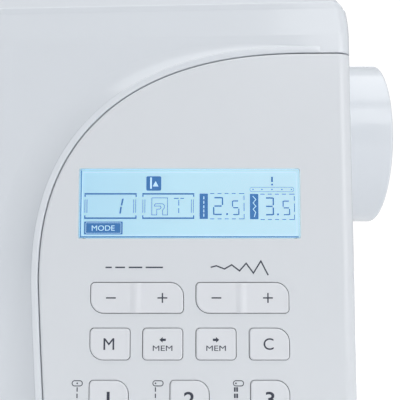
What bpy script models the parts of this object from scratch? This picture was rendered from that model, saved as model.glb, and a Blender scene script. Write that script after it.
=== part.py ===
"""Computerised free-arm sewing machine: every piece is one closed solid, in metres, +Z up.

X runs along the arm, from the needle at the left to the handwheel at the right. -Y is the front.
The origin is on the table, under the middle of the whole machine.
"""

import math

import bmesh
import bpy
from mathutils import Matrix, Vector

# ---- Driving dimensions ----------------------------------------------------------------------

# Overall envelope
WIDTH = 0.445
DEPTH = 0.190
HEIGHT = 0.294

# Walls and clearances
WALL = 0.0025
GAP = 0.0003
RUNNING = 0.0004
SLIDING = 0.0006

# Body, in front view
WHEEL_LENGTH = 0.0259
WHEEL_RADIUS = 0.035
WHEEL_STANDOFF = 0.001
SIDE_X = WIDTH / 2 - WHEEL_LENGTH - WHEEL_STANDOFF
PILLAR_WIDTH = 0.1536
PILLAR_X = SIDE_X - PILLAR_WIDTH
HEAD_X = -0.1985
HEAD_WIDTH = 0.0735
HEAD_RIGHT = HEAD_X + HEAD_WIDTH
BASE_TOP = 0.016
BED_Z = 0.084
HEAD_Z = 0.150
ARM_Z = 0.206
LID_HEIGHT = 0.030
DECK_Z = HEIGHT - LID_HEIGHT
BODY_EDGE = 0.008

# Body, in plan
FRONT_Y = -0.084
FRONT_LEAN = 0.048
PARTING_Y = 0.014
REAR_Y = 0.066

# Shafts
SHAFT_Y = -0.006
SHAFT_Z = 0.232
SHAFT_RADIUS = 0.006
LOWER_SHAFT_Z = 0.058
LOWER_SHAFT_RADIUS = 0.004
BELT_X = 0.086
BELT_WIDTH = 0.008
BELT_THICKNESS = 0.0016
PULLEY_RADIUS = 0.014

# Needle side
NEEDLE_X = -0.167
NEEDLE_BAR_RADIUS = 0.0032
NEEDLE_RADIUS = 0.00045
NEEDLE_STROKE = 0.030
NEEDLE_TIP_ABOVE_BED = 0.014
NEEDLE_REACH = 0.027
PRESSER_Y = SHAFT_Y + 0.014
PRESSER_RADIUS = 0.003
FOOT_CLEARANCE = 0.0012
HOOK_RADIUS = 0.017
HOOK_OFFSET = 0.019
HOOK_Y = SHAFT_Y - HOOK_OFFSET
BOBBIN_RADIUS = 0.0102
BOBBIN_HEIGHT = 0.0115

# Free arm and the box that wraps it
ARM_END_X = -0.190
FREE_ARM_FRONT_Y = -0.055
FREE_ARM_REAR_Y = 0.050
FREE_ARM_UNDERSIDE_Z = 0.038
BOX_WALL = 0.0035
BOX_BOTTOM_Z = 0.004
PLATE_THICKNESS = 0.0025

# Control panel
PANEL_DEPTH = 0.0075
PANEL_SEAM = 0.0004
PANEL_CENTRE = (0.1844, 0.174)
PANEL_REACH = (0.0898, 0.0742)
PANEL_ROUNDNESS = 2.4
PANEL_BOTTOM_Z = 0.089
PANEL_BOTTOM_X = 0.1012
KEY_PROUD = 0.0006
KEY_TRAVEL = 0.0008
KEY_CLEARANCE = 0.00035
SCREEN_X = (0.10635, 0.1777)
SCREEN_Z = (0.1872, 0.2099)
KEY_COLUMNS = (0.1108, 0.1274, 0.1442, 0.1610)
KEY_WIDTH = 0.0125
KEY_HEIGHT = 0.0097
ROCKER_WIDTH = 0.0293
ROCKER_HEIGHT = 0.0095
ROCKER_TOP_Z = 0.1732
FUNCTION_TOP_Z = 0.1589
DIRECT_TOP_Z = 0.1428
DIRECT_PITCH_Z = 0.0161
DIRECT_COLUMNS = (0.1108, 0.1361, 0.1613)
DIRECT_WIDTH = 0.0121

ARC_STEPS = 4
ROUND_STEPS = 32
SMALL_ROUND_STEPS = 16


# ---- Scene and shape tools ---------------------------------------------------------------------

for old in list(bpy.data.objects):
    bpy.data.objects.remove(old)

MACHINE = bpy.data.collections.new("sewing_machine")
CUTTERS = bpy.data.collections.new("cutters")
for group in (MACHINE, CUTTERS):
    bpy.context.scene.collection.children.link(group)


def plastic(name, colour, roughness=0.3, metallic=0.0):
    """A Principled material with one colour, given as linear red, green and blue."""
    made = bpy.data.materials.new(name)
    made.use_nodes = True
    shader = made.node_tree.nodes["Principled BSDF"]
    shader.inputs["Base Color"].default_value = (*colour, 1.0)
    shader.inputs["Roughness"].default_value = roughness
    shader.inputs["Metallic"].default_value = metallic
    return made


def metal(name, colour, roughness=0.3):
    return plastic(name, colour, roughness, 1.0)


def add_object(name, mesh, helper=False):
    made = bpy.data.objects.new(name, mesh)
    (CUTTERS if helper else MACHINE).objects.link(made)
    if helper:
        made.hide_render = True
        made.display_type = "WIRE"
    return made


def smooth(obj, degrees=35):
    obj.data.shade_smooth()
    obj.data.set_sharp_from_angle(angle=math.radians(degrees))


def place_origin(obj, point):
    """Moves the object's origin to the point and leaves its shape where it is."""
    obj.data.transform(Matrix.Translation(-Vector(point)))
    obj.location = point
    return obj


# The plane of an outline for each thickness axis: where its two coordinates point.
PLANES = {
    "X": Matrix(((0, 0, 1), (1, 0, 0), (0, 1, 0))).to_4x4(),
    "Y": Matrix(((1, 0, 0), (0, 0, -1), (0, 1, 0))).to_4x4(),
    "Z": Matrix.Identity(4),
}
ALONG = {"X": Vector((1, 0, 0)), "Y": Vector((0, 1, 0)), "Z": Vector((0, 0, 1))}
# A turned piece is drawn round Z and laid along its axis, its first end at the low side.
LAY = {
    "X": Matrix.Rotation(math.radians(90), 4, "Y"),
    "Y": Matrix.Rotation(math.radians(-90), 4, "X"),
    "Z": Matrix.Identity(4),
}


def welded_mesh(obj):
    """The evaluated mesh of a curve, with its loose caps welded on and its flat faces merged."""
    bpy.context.view_layer.update()
    graph = bpy.context.evaluated_depsgraph_get()
    mesh = bpy.data.meshes.new_from_object(obj.evaluated_get(graph))
    mesh.transform(obj.matrix_world)
    work = bmesh.new()
    work.from_mesh(mesh)
    bmesh.ops.remove_doubles(work, verts=work.verts, dist=0.000001)
    bmesh.ops.dissolve_limit(
        work, angle_limit=math.radians(0.5), verts=work.verts, edges=work.edges
    )
    bmesh.ops.recalc_face_normals(work, faces=work.faces)
    work.to_mesh(mesh)
    work.free()
    bpy.data.objects.remove(obj)
    return mesh


def prism(name, outline, low, high, axis="Z", helper=False):
    """A flat outline thickened from low to high along an axis."""
    curve = bpy.data.curves.new(name, "CURVE")
    curve.dimensions = "2D"
    curve.fill_mode = "BOTH"
    curve.extrude = (high - low) / 2
    spline = curve.splines.new("POLY")
    spline.points.add(len(outline) - 1)
    for point, (u, v) in zip(spline.points, outline):
        point.co = (u, v, 0, 1)
    spline.use_cyclic_u = True
    flat = bpy.data.objects.new(name + "_outline", curve)
    CUTTERS.objects.link(flat)
    flat.matrix_world = Matrix.Translation(ALONG[axis] * (low + high) / 2) @ PLANES[axis]
    return add_object(name, welded_mesh(flat), helper)


def rounded(corners, steps=ARC_STEPS):
    """An outline of straight sides from (u, v, radius) corners, with an arc at each corner."""
    outline = []
    for index, (u, v, radius) in enumerate(corners):
        here = Vector((u, v))
        before = Vector(corners[index - 1][:2])
        after = Vector(corners[(index + 1) % len(corners)][:2])
        if radius == 0:
            outline.append((u, v))
            continue
        to_before = (before - here).normalized()
        to_after = (after - here).normalized()
        half = to_before.angle(to_after) / 2
        centre = here + (to_before + to_after).normalized() * radius / math.sin(half)
        start = here + to_before * radius / math.tan(half) - centre
        end = here + to_after * radius / math.tan(half) - centre
        turn = start.angle_signed(end)
        for step in range(steps + 1):
            arm = start.copy()
            arm.rotate(Matrix.Rotation(-turn * step / steps, 2))
            outline.append(tuple(centre + arm))
    return outline


def rectangle(u_range, v_range, radius=0.0, steps=ARC_STEPS):
    (u0, u1), (v0, v1) = u_range, v_range
    return rounded(
        [(u0, v0, radius), (u1, v0, radius), (u1, v1, radius), (u0, v1, radius)], steps
    )


def about(middle, width):
    return (middle - width / 2, middle + width / 2)


def box(name, x_range, y_range, z_range, helper=False, edge=0.0, segments=2):
    """A block between three ranges, its edges rounded where a radius is given."""
    made = add_object(name, bpy.data.meshes.new(name), helper)
    low = Vector((x_range[0], y_range[0], z_range[0]))
    high = Vector((x_range[1], y_range[1], z_range[1]))
    work = bmesh.new()
    bmesh.ops.create_cube(work, size=1)
    bmesh.ops.scale(work, vec=high - low, verts=work.verts)
    bmesh.ops.translate(work, vec=(low + high) / 2, verts=work.verts)
    work.to_mesh(made.data)
    work.free()
    if edge:
        round_edges(made, edge, segments)
    return made


def round_edges(obj, width, segments=2, degrees=40):
    bevel = obj.modifiers.new("rounded_edges", "BEVEL")
    bevel.width = width
    bevel.segments = segments
    bevel.limit_method = "ANGLE"
    bevel.angle_limit = math.radians(degrees)
    return obj


def turned(name, profile, axis="Z", at=(0, 0, 0), helper=False, steps=ROUND_STEPS):
    """A solid turned round an axis through a point, from (radius, height) points.

    The profile starts at the axis on the high end, runs out and down its outer side, and comes
    back to the axis at the low end. A ring's profile is closed by its last point instead.
    """
    ring = profile[0] == profile[-1]
    points = profile[:-1] if ring else profile
    mesh = bpy.data.meshes.new(name + "_profile")
    edges = [(i, i + 1) for i in range(len(points) - 1)]
    if ring:
        edges.append((len(points) - 1, 0))
    mesh.from_pydata([(radius, 0, height) for radius, height in points], edges, [])
    drawn = bpy.data.objects.new(name + "_profile", mesh)
    CUTTERS.objects.link(drawn)
    screw = drawn.modifiers.new("turn", "SCREW")
    screw.steps = screw.render_steps = steps
    screw.use_merge_vertices = True
    screw.merge_threshold = 0.00001
    drawn.matrix_world = Matrix.Translation(Vector(at)) @ LAY[axis]
    made = add_object(name, welded_mesh(drawn), helper)
    smooth(made)
    return made


def rod(name, radius, low, high, axis="Z", at=(0, 0, 0), helper=False, steps=SMALL_ROUND_STEPS):
    """A plain cylinder from low to high along an axis through a point."""
    return turned(name, [(0, high), (radius, high), (radius, low), (0, low)], axis, at, helper, steps)


def combine(obj, other, operation):
    change = obj.modifiers.new(f"{operation.lower()}_{other.name}", "BOOLEAN")
    change.operation = operation
    change.object = other
    return obj


def cut(obj, *others):
    for other in others:
        combine(obj, other, "DIFFERENCE")
    return obj


def weld(obj, *others):
    for other in others:
        combine(obj, other, "UNION")
    return obj


def paint(material, *objects):
    for obj in objects:
        obj.data.materials.clear()
        obj.data.materials.append(material)


WHITE = plastic("white_gloss_abs", (0.72, 0.74, 0.77), 0.18)
PANEL_WHITE = plastic("panel_white_abs", (0.70, 0.73, 0.76), 0.25)
KEY_WHITE = plastic("key_white_abs", (0.74, 0.76, 0.78), 0.35)
GREY = plastic("grey_abs", (0.45, 0.47, 0.50), 0.4)
CLEAR = plastic("clear_acrylic", (0.55, 0.75, 0.88), 0.05)
SCREEN = plastic("backlit_screen", (0.42, 0.70, 0.88), 0.3)
BOARD = plastic("circuit_board", (0.05, 0.22, 0.10), 0.5)
BLACK = plastic("black_moulding", (0.02, 0.02, 0.02), 0.45)
CAST = metal("cast_aluminium", (0.55, 0.56, 0.58), 0.5)
STEEL = metal("polished_steel", (0.62, 0.62, 0.62), 0.2)
DARK_STEEL = metal("dark_steel", (0.30, 0.30, 0.31), 0.35)
RUBBER = plastic("black_rubber", (0.015, 0.015, 0.015), 0.8)


# ---- Casings -----------------------------------------------------------------------------------

def front_y(x):
    """The casing's front, which leans back towards the needle end."""
    return FRONT_Y + FRONT_LEAN * (SIDE_X - x)


def lean_front(obj, fixed_y):
    """Leans the front of a casing back, fading out to nothing at the plane fixed_y."""
    for vertex in obj.data.vertices:
        share = (fixed_y - vertex.co.y) / (fixed_y - FRONT_Y)
        if share > 0:
            vertex.co.y += share * FRONT_LEAN * (SIDE_X - vertex.co.x)
    return obj


def body_outline(inset):
    """The machine seen from the front: head, arm and pillar, drawn in by an inset."""
    corner = max(0.010 - inset, 0.001)
    return rounded([
        (PILLAR_X + inset, BASE_TOP + GAP + inset, 0),
        (SIDE_X - inset, BASE_TOP + GAP + inset, 0),
        (SIDE_X - inset, DECK_Z - inset, 0),
        (HEAD_X + inset, DECK_Z - inset, 0),
        (HEAD_X + inset, HEAD_Z + inset, corner),
        (HEAD_RIGHT - inset, HEAD_Z + inset, corner),
        (HEAD_RIGHT - inset, ARM_Z + inset, 0.010 + inset),
        (PILLAR_X + inset, ARM_Z + inset, 0.020 + inset),
    ])


def panel_outline(grow=0.0):
    """A superellipse quarter at the top left, a left side that leans in, and square right corners."""
    centre_x, centre_z = PANEL_CENTRE
    reach_x, reach_z = PANEL_REACH[0] + grow, PANEL_REACH[1] + grow
    right = SIDE_X + grow
    arc = []
    steps = 14
    for step in range(steps + 1):
        angle = math.pi / 2 * step / steps
        u = math.cos(angle) ** (2 / PANEL_ROUNDNESS)
        v = math.sin(angle) ** (2 / PANEL_ROUNDNESS)
        arc.append((centre_x - reach_x * u, centre_z + reach_z * v))
    lower_left = (PANEL_BOTTOM_X - grow, PANEL_BOTTOM_Z - grow)
    return [*arc, (right, centre_z + reach_z), (right, PANEL_BOTTOM_Z - grow), lower_left]


def key_holes(clearance):
    """Every key's name and outline on the panel, with a clearance all round it."""
    def outline(x, width, top, height, soft):
        corners = [
            (x - clearance, top - height - clearance, soft[0]),
            (x + width + clearance, top - height - clearance, soft[1]),
            (x + width + clearance, top + clearance, soft[2]),
            (x - clearance, top + clearance, soft[3]),
        ]
        return rounded([(u, v, r + clearance) for u, v, r in corners], 3)

    small, large = 0.0012, 0.0042
    rocker = (large, small, large, small)
    found = {
        "key_stitch_length": outline(
            KEY_COLUMNS[0], ROCKER_WIDTH, ROCKER_TOP_Z, ROCKER_HEIGHT, rocker),
        "key_stitch_width": outline(
            KEY_COLUMNS[2], ROCKER_WIDTH, ROCKER_TOP_Z, ROCKER_HEIGHT, rocker),
    }
    functions = ("key_mode", "key_memory_back", "key_memory_next", "key_clear")
    soft_corner = (0, None, None, 2)
    for x, name, soft in zip(KEY_COLUMNS, functions, soft_corner):
        corners = [small] * 4
        if soft is not None:
            corners[soft] = large
        found[name] = outline(x, KEY_WIDTH, FUNCTION_TOP_Z, KEY_HEIGHT, corners)
    for number in range(1, 10):
        row, column = divmod(number - 1, 3)
        top = DIRECT_TOP_Z - DIRECT_PITCH_Z * row
        found[f"key_{number}"] = outline(
            DIRECT_COLUMNS[column], DIRECT_WIDTH, top, KEY_HEIGHT, (small, small, large, small))
    return found


def round_end(obj, plane_y, width, segments=3):
    """Rounds the edges that lie in one plane across Y, and no others."""
    work = bmesh.new()
    work.from_mesh(obj.data)
    rim = [e for e in work.edges if all(abs(v.co.y - plane_y) < GAP / 10 for v in e.verts)]
    bmesh.ops.bevel(work, geom=rim, offset=width, segments=segments, profile=0.5, affect="EDGES")
    work.to_mesh(obj.data)
    work.free()
    return obj


def casing(name, open_y, closed_y):
    """One half of the body shell: hollow, open where the halves meet, its closed end rounded."""
    inward = 1 if open_y > closed_y else -1
    ends = [(0, closed_y, open_y), (WALL, closed_y + inward * WALL, open_y + inward * WALL)]
    shapes = []
    for inset, closed_end, open_end in ends:
        shape = prism(name + ("_cavity" if inset else ""), body_outline(inset),
                      min(closed_end, open_end), max(closed_end, open_end), "Y", helper=inset > 0)
        round_end(shape, closed_end, BODY_EDGE - inset)
        if closed_y < 0:
            lean_front(shape, PARTING_Y)
        shapes.append(shape)
    return cut(*shapes)


PANEL_BACK_Y = FRONT_Y + PANEL_DEPTH
LCD_BORDER = 0.0025
POCKET_ROOM = 0.0008
POCKET_X = (SCREEN_X[0] - LCD_BORDER - POCKET_ROOM, SCREEN_X[1] + LCD_BORDER + POCKET_ROOM)
POCKET_Z = (PANEL_BOTTOM_Z + 0.0105, SCREEN_Z[1] + LCD_BORDER + POCKET_ROOM)
BOARD_FRONT_Y = -0.0680
BOARD_BACK_Y = BOARD_FRONT_Y + 0.0016

front_cover = casing("front_cover", PARTING_Y, FRONT_Y)
# The seat of the control panel, and the window behind it for screen and keys.
panel_seat = prism(
    "panel_seat", panel_outline(PANEL_SEAM), FRONT_Y - 0.01, PANEL_BACK_Y + GAP, "Y", helper=True)
seat_skin = prism(
    "panel_seat_skin", panel_outline(WALL + PANEL_SEAM)[:-3] + [
        (SIDE_X - WALL, PANEL_CENTRE[1] + PANEL_REACH[1] + WALL),
        (SIDE_X - WALL, PANEL_BOTTOM_Z - WALL),
        (PANEL_BOTTOM_X - WALL, PANEL_BOTTOM_Z - WALL),
    ],
    FRONT_Y + BODY_EDGE, PANEL_BACK_Y + GAP + WALL, "Y", helper=True)
behind_panel = box(
    "behind_panel", (POCKET_X[0] - GAP, POCKET_X[1] + GAP),
    (FRONT_Y - 0.01, PANEL_BACK_Y + 0.006), (POCKET_Z[0] - GAP, POCKET_Z[1] + GAP), helper=True)
weld(front_cover, seat_skin)
cut(front_cover, panel_seat, behind_panel)

# Openings of the front cover: shaft, lower shaft, needle bars, thread slots, small controls.
TAKE_UP_X = NEEDLE_X - 0.013
TAKE_UP_SLOT_Z = (0.194, 0.248)
THREAD_SLOT_WIDTH = 0.004
THREAD_SLOT_X = NEEDLE_X + 0.007
NEEDLE_HOLE_X = about(NEEDLE_X, 0.020)
NEEDLE_HOLE_FRONT_Y = SHAFT_Y - 0.010
WINDER_AT = (0.165, -0.030)
WINDER_RADIUS = 0.003
TENSION_AT = (-0.138, 0.232)
TENSION_HUB_RADIUS = 0.004
SPEED_X = (-0.075, -0.035)
SPEED_Z = 0.222
SPEED_SLOT_HEIGHT = 0.004
BUTTON_RADIUS = 0.0065
BUTTON_AT = {
    "start_stop_button": (-0.181, 0.168),
    "reverse_button": (-0.162, 0.168),
    "needle_position_button": (-0.143, 0.168),
}
SWITCH_Y = (-0.042, -0.022)
SWITCH_Z = (0.062, 0.074)
INLET_Y = (-0.044, -0.020)
INLET_Z = (0.036, 0.052)
INSIDE_FRONT_Y = FRONT_Y - 0.010

cut(
    front_cover,
    rod("shaft_hole", SHAFT_RADIUS + RUNNING, SIDE_X - 0.010, SIDE_X + 0.010, "X",
        (0, SHAFT_Y, SHAFT_Z), helper=True),
    rod("lower_shaft_hole", LOWER_SHAFT_RADIUS + RUNNING, PILLAR_X - 0.010, PILLAR_X + 0.010,
        "X", (0, SHAFT_Y, LOWER_SHAFT_Z), helper=True),
    box("needle_bar_hole", NEEDLE_HOLE_X, (NEEDLE_HOLE_FRONT_Y, PARTING_Y + 0.010),
        (HEAD_Z - 0.010, HEAD_Z + WALL * 2), helper=True),
    box("take_up_slot", about(TAKE_UP_X, THREAD_SLOT_WIDTH), (INSIDE_FRONT_Y, -0.050),
        TAKE_UP_SLOT_Z, helper=True),
    box("thread_slot", about(THREAD_SLOT_X, THREAD_SLOT_WIDTH), (INSIDE_FRONT_Y, -0.050),
        TAKE_UP_SLOT_Z, helper=True),
    rod("winder_hole", WINDER_RADIUS + RUNNING, DECK_Z - 0.010, DECK_Z + 0.010, "Z",
        (*WINDER_AT, 0), helper=True),
    rod("tension_hole", TENSION_HUB_RADIUS + RUNNING, INSIDE_FRONT_Y, -0.050, "Y",
        (TENSION_AT[0], 0, TENSION_AT[1]), helper=True),
    box("speed_slot", SPEED_X, (INSIDE_FRONT_Y, -0.060), about(SPEED_Z, SPEED_SLOT_HEIGHT),
        helper=True),
    box("switch_hole", (SIDE_X - 0.010, SIDE_X + 0.010), SWITCH_Y, SWITCH_Z, helper=True),
    box("inlet_hole", (SIDE_X - 0.010, SIDE_X + 0.010), INLET_Y, INLET_Z, helper=True),
)
for button, (x, z) in BUTTON_AT.items():
    cut(front_cover, rod(button + "_hole", BUTTON_RADIUS + GAP, INSIDE_FRONT_Y, -0.050, "Y",
                         (x, 0, z), helper=True))

SPINE_Y = (0.022, 0.034)
SPINE_BED_Z = (FREE_ARM_UNDERSIDE_Z + WALL + 0.0035, BED_Z - 0.012)
LEVER_AT = (-0.150, 0.176)
LEVER_HUB_RADIUS = 0.004
rear_cover = casing("rear_cover", PARTING_Y + GAP, REAR_Y)
LID_REAR_Y = REAR_Y - WALL - 2 * GAP
FENCE_Z = HEIGHT - 0.0105
LID_X = (HEAD_X + 0.0015, SIDE_X - 0.0015)
fence = box("lid_fence", (LID_X[0] + 0.006, LID_X[1] - 0.006), (REAR_Y - WALL + GAP / 2, REAR_Y - GAP / 2),
            (DECK_Z - 0.012, FENCE_Z), helper=True)
weld(rear_cover, fence)
cut(rear_cover, rod("lever_hole", LEVER_HUB_RADIUS + RUNNING, REAR_Y - 0.010, REAR_Y + 0.010,
                    "Y", (LEVER_AT[0], 0, LEVER_AT[1]), helper=True))

cut(rear_cover, box("spine_opening", about(PILLAR_X, 0.020), (PARTING_Y - 0.001, SPINE_Y[1] + 0.001),
                    (SPINE_BED_Z[0] - 0.001, SPINE_BED_Z[1] + 0.001), helper=True))

# Two ears on the back carry the folding handle.
HANDLE_X = (-0.052, 0.088)
HANDLE_AXIS_Y = REAR_Y + 0.017
HANDLE_AXIS_Z = 0.236
HANDLE_BAR = 0.010
EAR_WIDTH = 0.009
EAR_REAR_Y = DEPTH / 2
HANDLE_PIN_RADIUS = 0.003
for side, x in (("left", HANDLE_X[0] - GAP - EAR_WIDTH), ("right", HANDLE_X[1] + GAP)):
    ear = prism(
        f"{side}_ear",
        rounded([(REAR_Y - WALL / 2, HANDLE_AXIS_Z - 0.014, 0), (EAR_REAR_Y, HANDLE_AXIS_Z - 0.014, 0.012),
                 (EAR_REAR_Y, HANDLE_AXIS_Z + 0.014, 0.012), (REAR_Y - WALL / 2, HANDLE_AXIS_Z + 0.014, 0)]),
        x, x + EAR_WIDTH, "X", helper=True)
    weld(rear_cover, ear)
    cut(rear_cover, rod(f"{side}_ear_hole", HANDLE_PIN_RADIUS + RUNNING, x - 0.001, x + EAR_WIDTH + 0.001,
                        "X", (0, HANDLE_AXIS_Y, HANDLE_AXIS_Z), helper=True))
paint(WHITE, front_cover, rear_cover)

# The base under the pillar and the free arm, on four feet.
BASE_THICKNESS = 0.012
FOOT_RADIUS = 0.011
BASE_FRONT_Y, BASE_REAR_Y = -0.080, 0.080
ARM_BASE_FRONT_Y = -0.050
ARM_BASE_X = -0.120
base_tray = prism(
    "base_tray",
    rounded([(ARM_BASE_X, ARM_BASE_FRONT_Y, 0.010), (PILLAR_X, ARM_BASE_FRONT_Y, 0),
             (PILLAR_X, BASE_FRONT_Y, 0), (SIDE_X, BASE_FRONT_Y, 0.006),
             (SIDE_X, BASE_REAR_Y, 0.010), (ARM_BASE_X, BASE_REAR_Y, 0.020)]),
    BASE_TOP - BASE_THICKNESS, BASE_TOP)
for number, (x, y) in enumerate((
        (ARM_BASE_X + 0.018, ARM_BASE_FRONT_Y + 0.018), (ARM_BASE_X + 0.018, BASE_REAR_Y - 0.018),
        (SIDE_X - 0.016, BASE_FRONT_Y + 0.016), (SIDE_X - 0.016, BASE_REAR_Y - 0.018))):
    weld(base_tray, rod(f"foot_{number}", FOOT_RADIUS, 0, BASE_TOP - BASE_THICKNESS / 2, "Z",
                        (x, y, 0), helper=True))
round_edges(base_tray, 0.0008, 1)
paint(WHITE, base_tray)

# The free arm: a box tube that opens into the pillar, with an open top under the needle plate.
PLATE_X = (NEEDLE_X - 0.021, NEEDLE_X + 0.049)
PLATE_Y = (SHAFT_Y - 0.0078, FREE_ARM_REAR_Y - 0.004)
COVER_Y = (FREE_ARM_FRONT_Y + 0.0012, PLATE_Y[0] - GAP)
COVER_X = (PLATE_X[0], NEEDLE_X + 0.027)
free_arm_cover = box(
    "free_arm_cover", (ARM_END_X, PILLAR_X - GAP), (FREE_ARM_FRONT_Y, FREE_ARM_REAR_Y),
    (FREE_ARM_UNDERSIDE_Z, BED_Z))
SHELF = 0.0030
cut(
    free_arm_cover,
    box("free_arm_cavity", (ARM_END_X + WALL, PILLAR_X + 0.010),
        (FREE_ARM_FRONT_Y + WALL, FREE_ARM_REAR_Y - WALL),
        (FREE_ARM_UNDERSIDE_Z + WALL, BED_Z - PLATE_THICKNESS - 0.002), helper=True),
    box("plate_seat", (ARM_END_X + 0.0012, PLATE_X[1] + GAP),
        (PLATE_Y[0] - GAP, PLATE_Y[1] + GAP),
        (BED_Z - PLATE_THICKNESS - GAP, BED_Z + 0.010), helper=True),
    box("cover_seat", (ARM_END_X + 0.0012, COVER_X[1] + GAP),
        (FREE_ARM_FRONT_Y - 0.010, PLATE_Y[0]),
        (BED_Z - PLATE_THICKNESS - GAP, BED_Z + 0.010), helper=True),
    box("mechanism_window", (ARM_END_X + SHELF + WALL, PLATE_X[1] - SHELF),
        (HOOK_Y - HOOK_RADIUS - 0.003, PLATE_Y[1] - SHELF), (BED_Z - 0.010, BED_Z + 0.010),
        helper=True),
)
paint(WHITE, free_arm_cover)

# The accessory box wraps the front and the end of the free arm.
BOX_REAR_Y = FREE_ARM_FRONT_Y - GAP
BOX_FRONT_Y = -DEPTH / 2
BOX_LEFT_X = -WIDTH / 2
BOX_RIGHT_X = PILLAR_X - GAP * 2
BOX_END_X = ARM_END_X - SLIDING
accessory_box = prism(
    "accessory_box",
    rounded([(BOX_LEFT_X, BOX_FRONT_Y, 0.016), (BOX_RIGHT_X, BOX_FRONT_Y, 0.004),
             (BOX_RIGHT_X, BOX_REAR_Y, 0), (BOX_END_X, BOX_REAR_Y, 0),
             (BOX_END_X, FREE_ARM_REAR_Y, 0), (BOX_LEFT_X, FREE_ARM_REAR_Y, 0.016)]),
    BOX_BOTTOM_Z, BED_Z)
BOX_POCKET = ((BOX_LEFT_X + 0.036, BOX_RIGHT_X - BOX_WALL), (BOX_FRONT_Y + BOX_WALL, BOX_REAR_Y),
              (BOX_BOTTOM_Z + BOX_WALL, BED_Z - 0.007))
cut(
    accessory_box,
    box("box_pocket", BOX_POCKET[0], (BOX_POCKET[1][0], BOX_REAR_Y + 0.010), BOX_POCKET[2],
        helper=True),
    box("cover_channel", (COVER_X[0] - SLIDING * 2, COVER_X[1] + SLIDING * 2),
        (BOX_FRONT_Y - 0.010, BOX_REAR_Y + 0.010),
        (BED_Z - PLATE_THICKNESS - 2 * GAP, BED_Z + 0.010), helper=True),
)
paint(WHITE, accessory_box)

# The lid over the spool, hinged along the top of the back.
LID_BOTTOM_Z = DECK_Z + GAP * 2
LID_AXIS = (0, LID_REAR_Y - 0.0035, HEIGHT - 0.0055)
LID_FRONT_Y = FRONT_Y + 0.0015


def lid_profile(inset):
    """The lid from its end: a low front that leans back steeply, and a rounded crown."""
    bottom = LID_BOTTOM_Z - (0.010 if inset else 0)
    return rounded([
        (LID_FRONT_Y + inset, bottom, 0), (LID_REAR_Y - inset, bottom, 0),
        (LID_REAR_Y - inset, HEIGHT - inset, 0.005 - inset / 2),
        (LID_FRONT_Y + 0.026 + inset * 0.5, HEIGHT - inset, 0.014 - inset),
        (LID_FRONT_Y + inset, LID_BOTTOM_Z + 0.006, 0.003),
    ])


top_lid = prism("top_lid", lid_profile(0), *LID_X, "X")
lid_cavity = prism("lid_cavity", lid_profile(WALL), LID_X[0] + WALL, LID_X[1] - WALL, "X", helper=True)
for shell in (top_lid, lid_cavity):
    lean_front(shell, LID_REAR_Y)
round_edges(top_lid, 0.002, 2)
cut(top_lid, lid_cavity)
place_origin(top_lid, LID_AXIS)
paint(WHITE, top_lid)


# ---- Control panel -----------------------------------------------------------------------------

PANEL_SKIN = 0.0028
control_panel = prism("control_panel", panel_outline(), FRONT_Y, PANEL_BACK_Y, "Y")
panel_pocket = box(
    "panel_pocket", POCKET_X, (FRONT_Y + PANEL_SKIN, PANEL_BACK_Y + 0.010), POCKET_Z, helper=True)
round_edges(control_panel, 0.0018, 2)
cut(control_panel, panel_pocket)
SCREEN_RADIUS = 0.0006
cut(control_panel, prism("screen_window", rectangle(SCREEN_X, SCREEN_Z, SCREEN_RADIUS, 2),
                         INSIDE_FRONT_Y, PANEL_BACK_Y + 0.001, "Y", helper=True))
KEYS = key_holes(0)
for name, outline in key_holes(KEY_CLEARANCE).items():
    cut(control_panel, prism(name + "_hole", outline, INSIDE_FRONT_Y, PANEL_BACK_Y + 0.001, "Y",
                             helper=True))
paint(PANEL_WHITE, control_panel)

KEY_BACK_Y = BOARD_FRONT_Y - KEY_TRAVEL - GAP * 2
ROCKER_BACK_Y = BOARD_FRONT_Y - 0.0015
for name, outline in KEYS.items():
    rocker = name.startswith("key_stitch")
    key = prism(name, outline, FRONT_Y - KEY_PROUD, ROCKER_BACK_Y if rocker else KEY_BACK_Y, "Y")
    round_edges(key, 0.0003, 1)
    middle_x = (min(u for u, _ in outline) + max(u for u, _ in outline)) / 2
    middle_z = (min(v for _, v in outline) + max(v for _, v in outline)) / 2
    place_origin(key, (middle_x, FRONT_Y + 0.001, middle_z))
    paint(KEY_WHITE, key)

lcd_window = prism(
    "lcd_window", rectangle((SCREEN_X[0] + GAP, SCREEN_X[1] - GAP), (SCREEN_Z[0] + GAP, SCREEN_Z[1] - GAP)),
    FRONT_Y + 0.0004, FRONT_Y + PANEL_SKIN - 0.0004, "Y")
paint(CLEAR, lcd_window)
lcd_module = box(
    "lcd_module", (SCREEN_X[0] - LCD_BORDER, SCREEN_X[1] + LCD_BORDER),
    (FRONT_Y + PANEL_SKIN + GAP, BOARD_FRONT_Y - GAP), (SCREEN_Z[0] - LCD_BORDER, SCREEN_Z[1] + LCD_BORDER))
paint(SCREEN, lcd_module)
control_board = box(
    "control_board", (POCKET_X[0] + POCKET_ROOM, POCKET_X[1] - POCKET_ROOM),
    (BOARD_FRONT_Y, BOARD_BACK_Y), (POCKET_Z[0] + POCKET_ROOM, POCKET_Z[1] - POCKET_ROOM))
paint(BOARD, control_board)


# ---- Shafts, belt and motor --------------------------------------------------------------------

shaft_line = (0, SHAFT_Y, SHAFT_Z)
lower_line = (0, SHAFT_Y, LOWER_SHAFT_Z)
CRANK_X = (NEEDLE_X + 0.0150, NEEDLE_X + 0.0210)
CRANK_RADIUS = 0.017
SHAFT_END_X = WIDTH / 2 - 0.006


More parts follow.
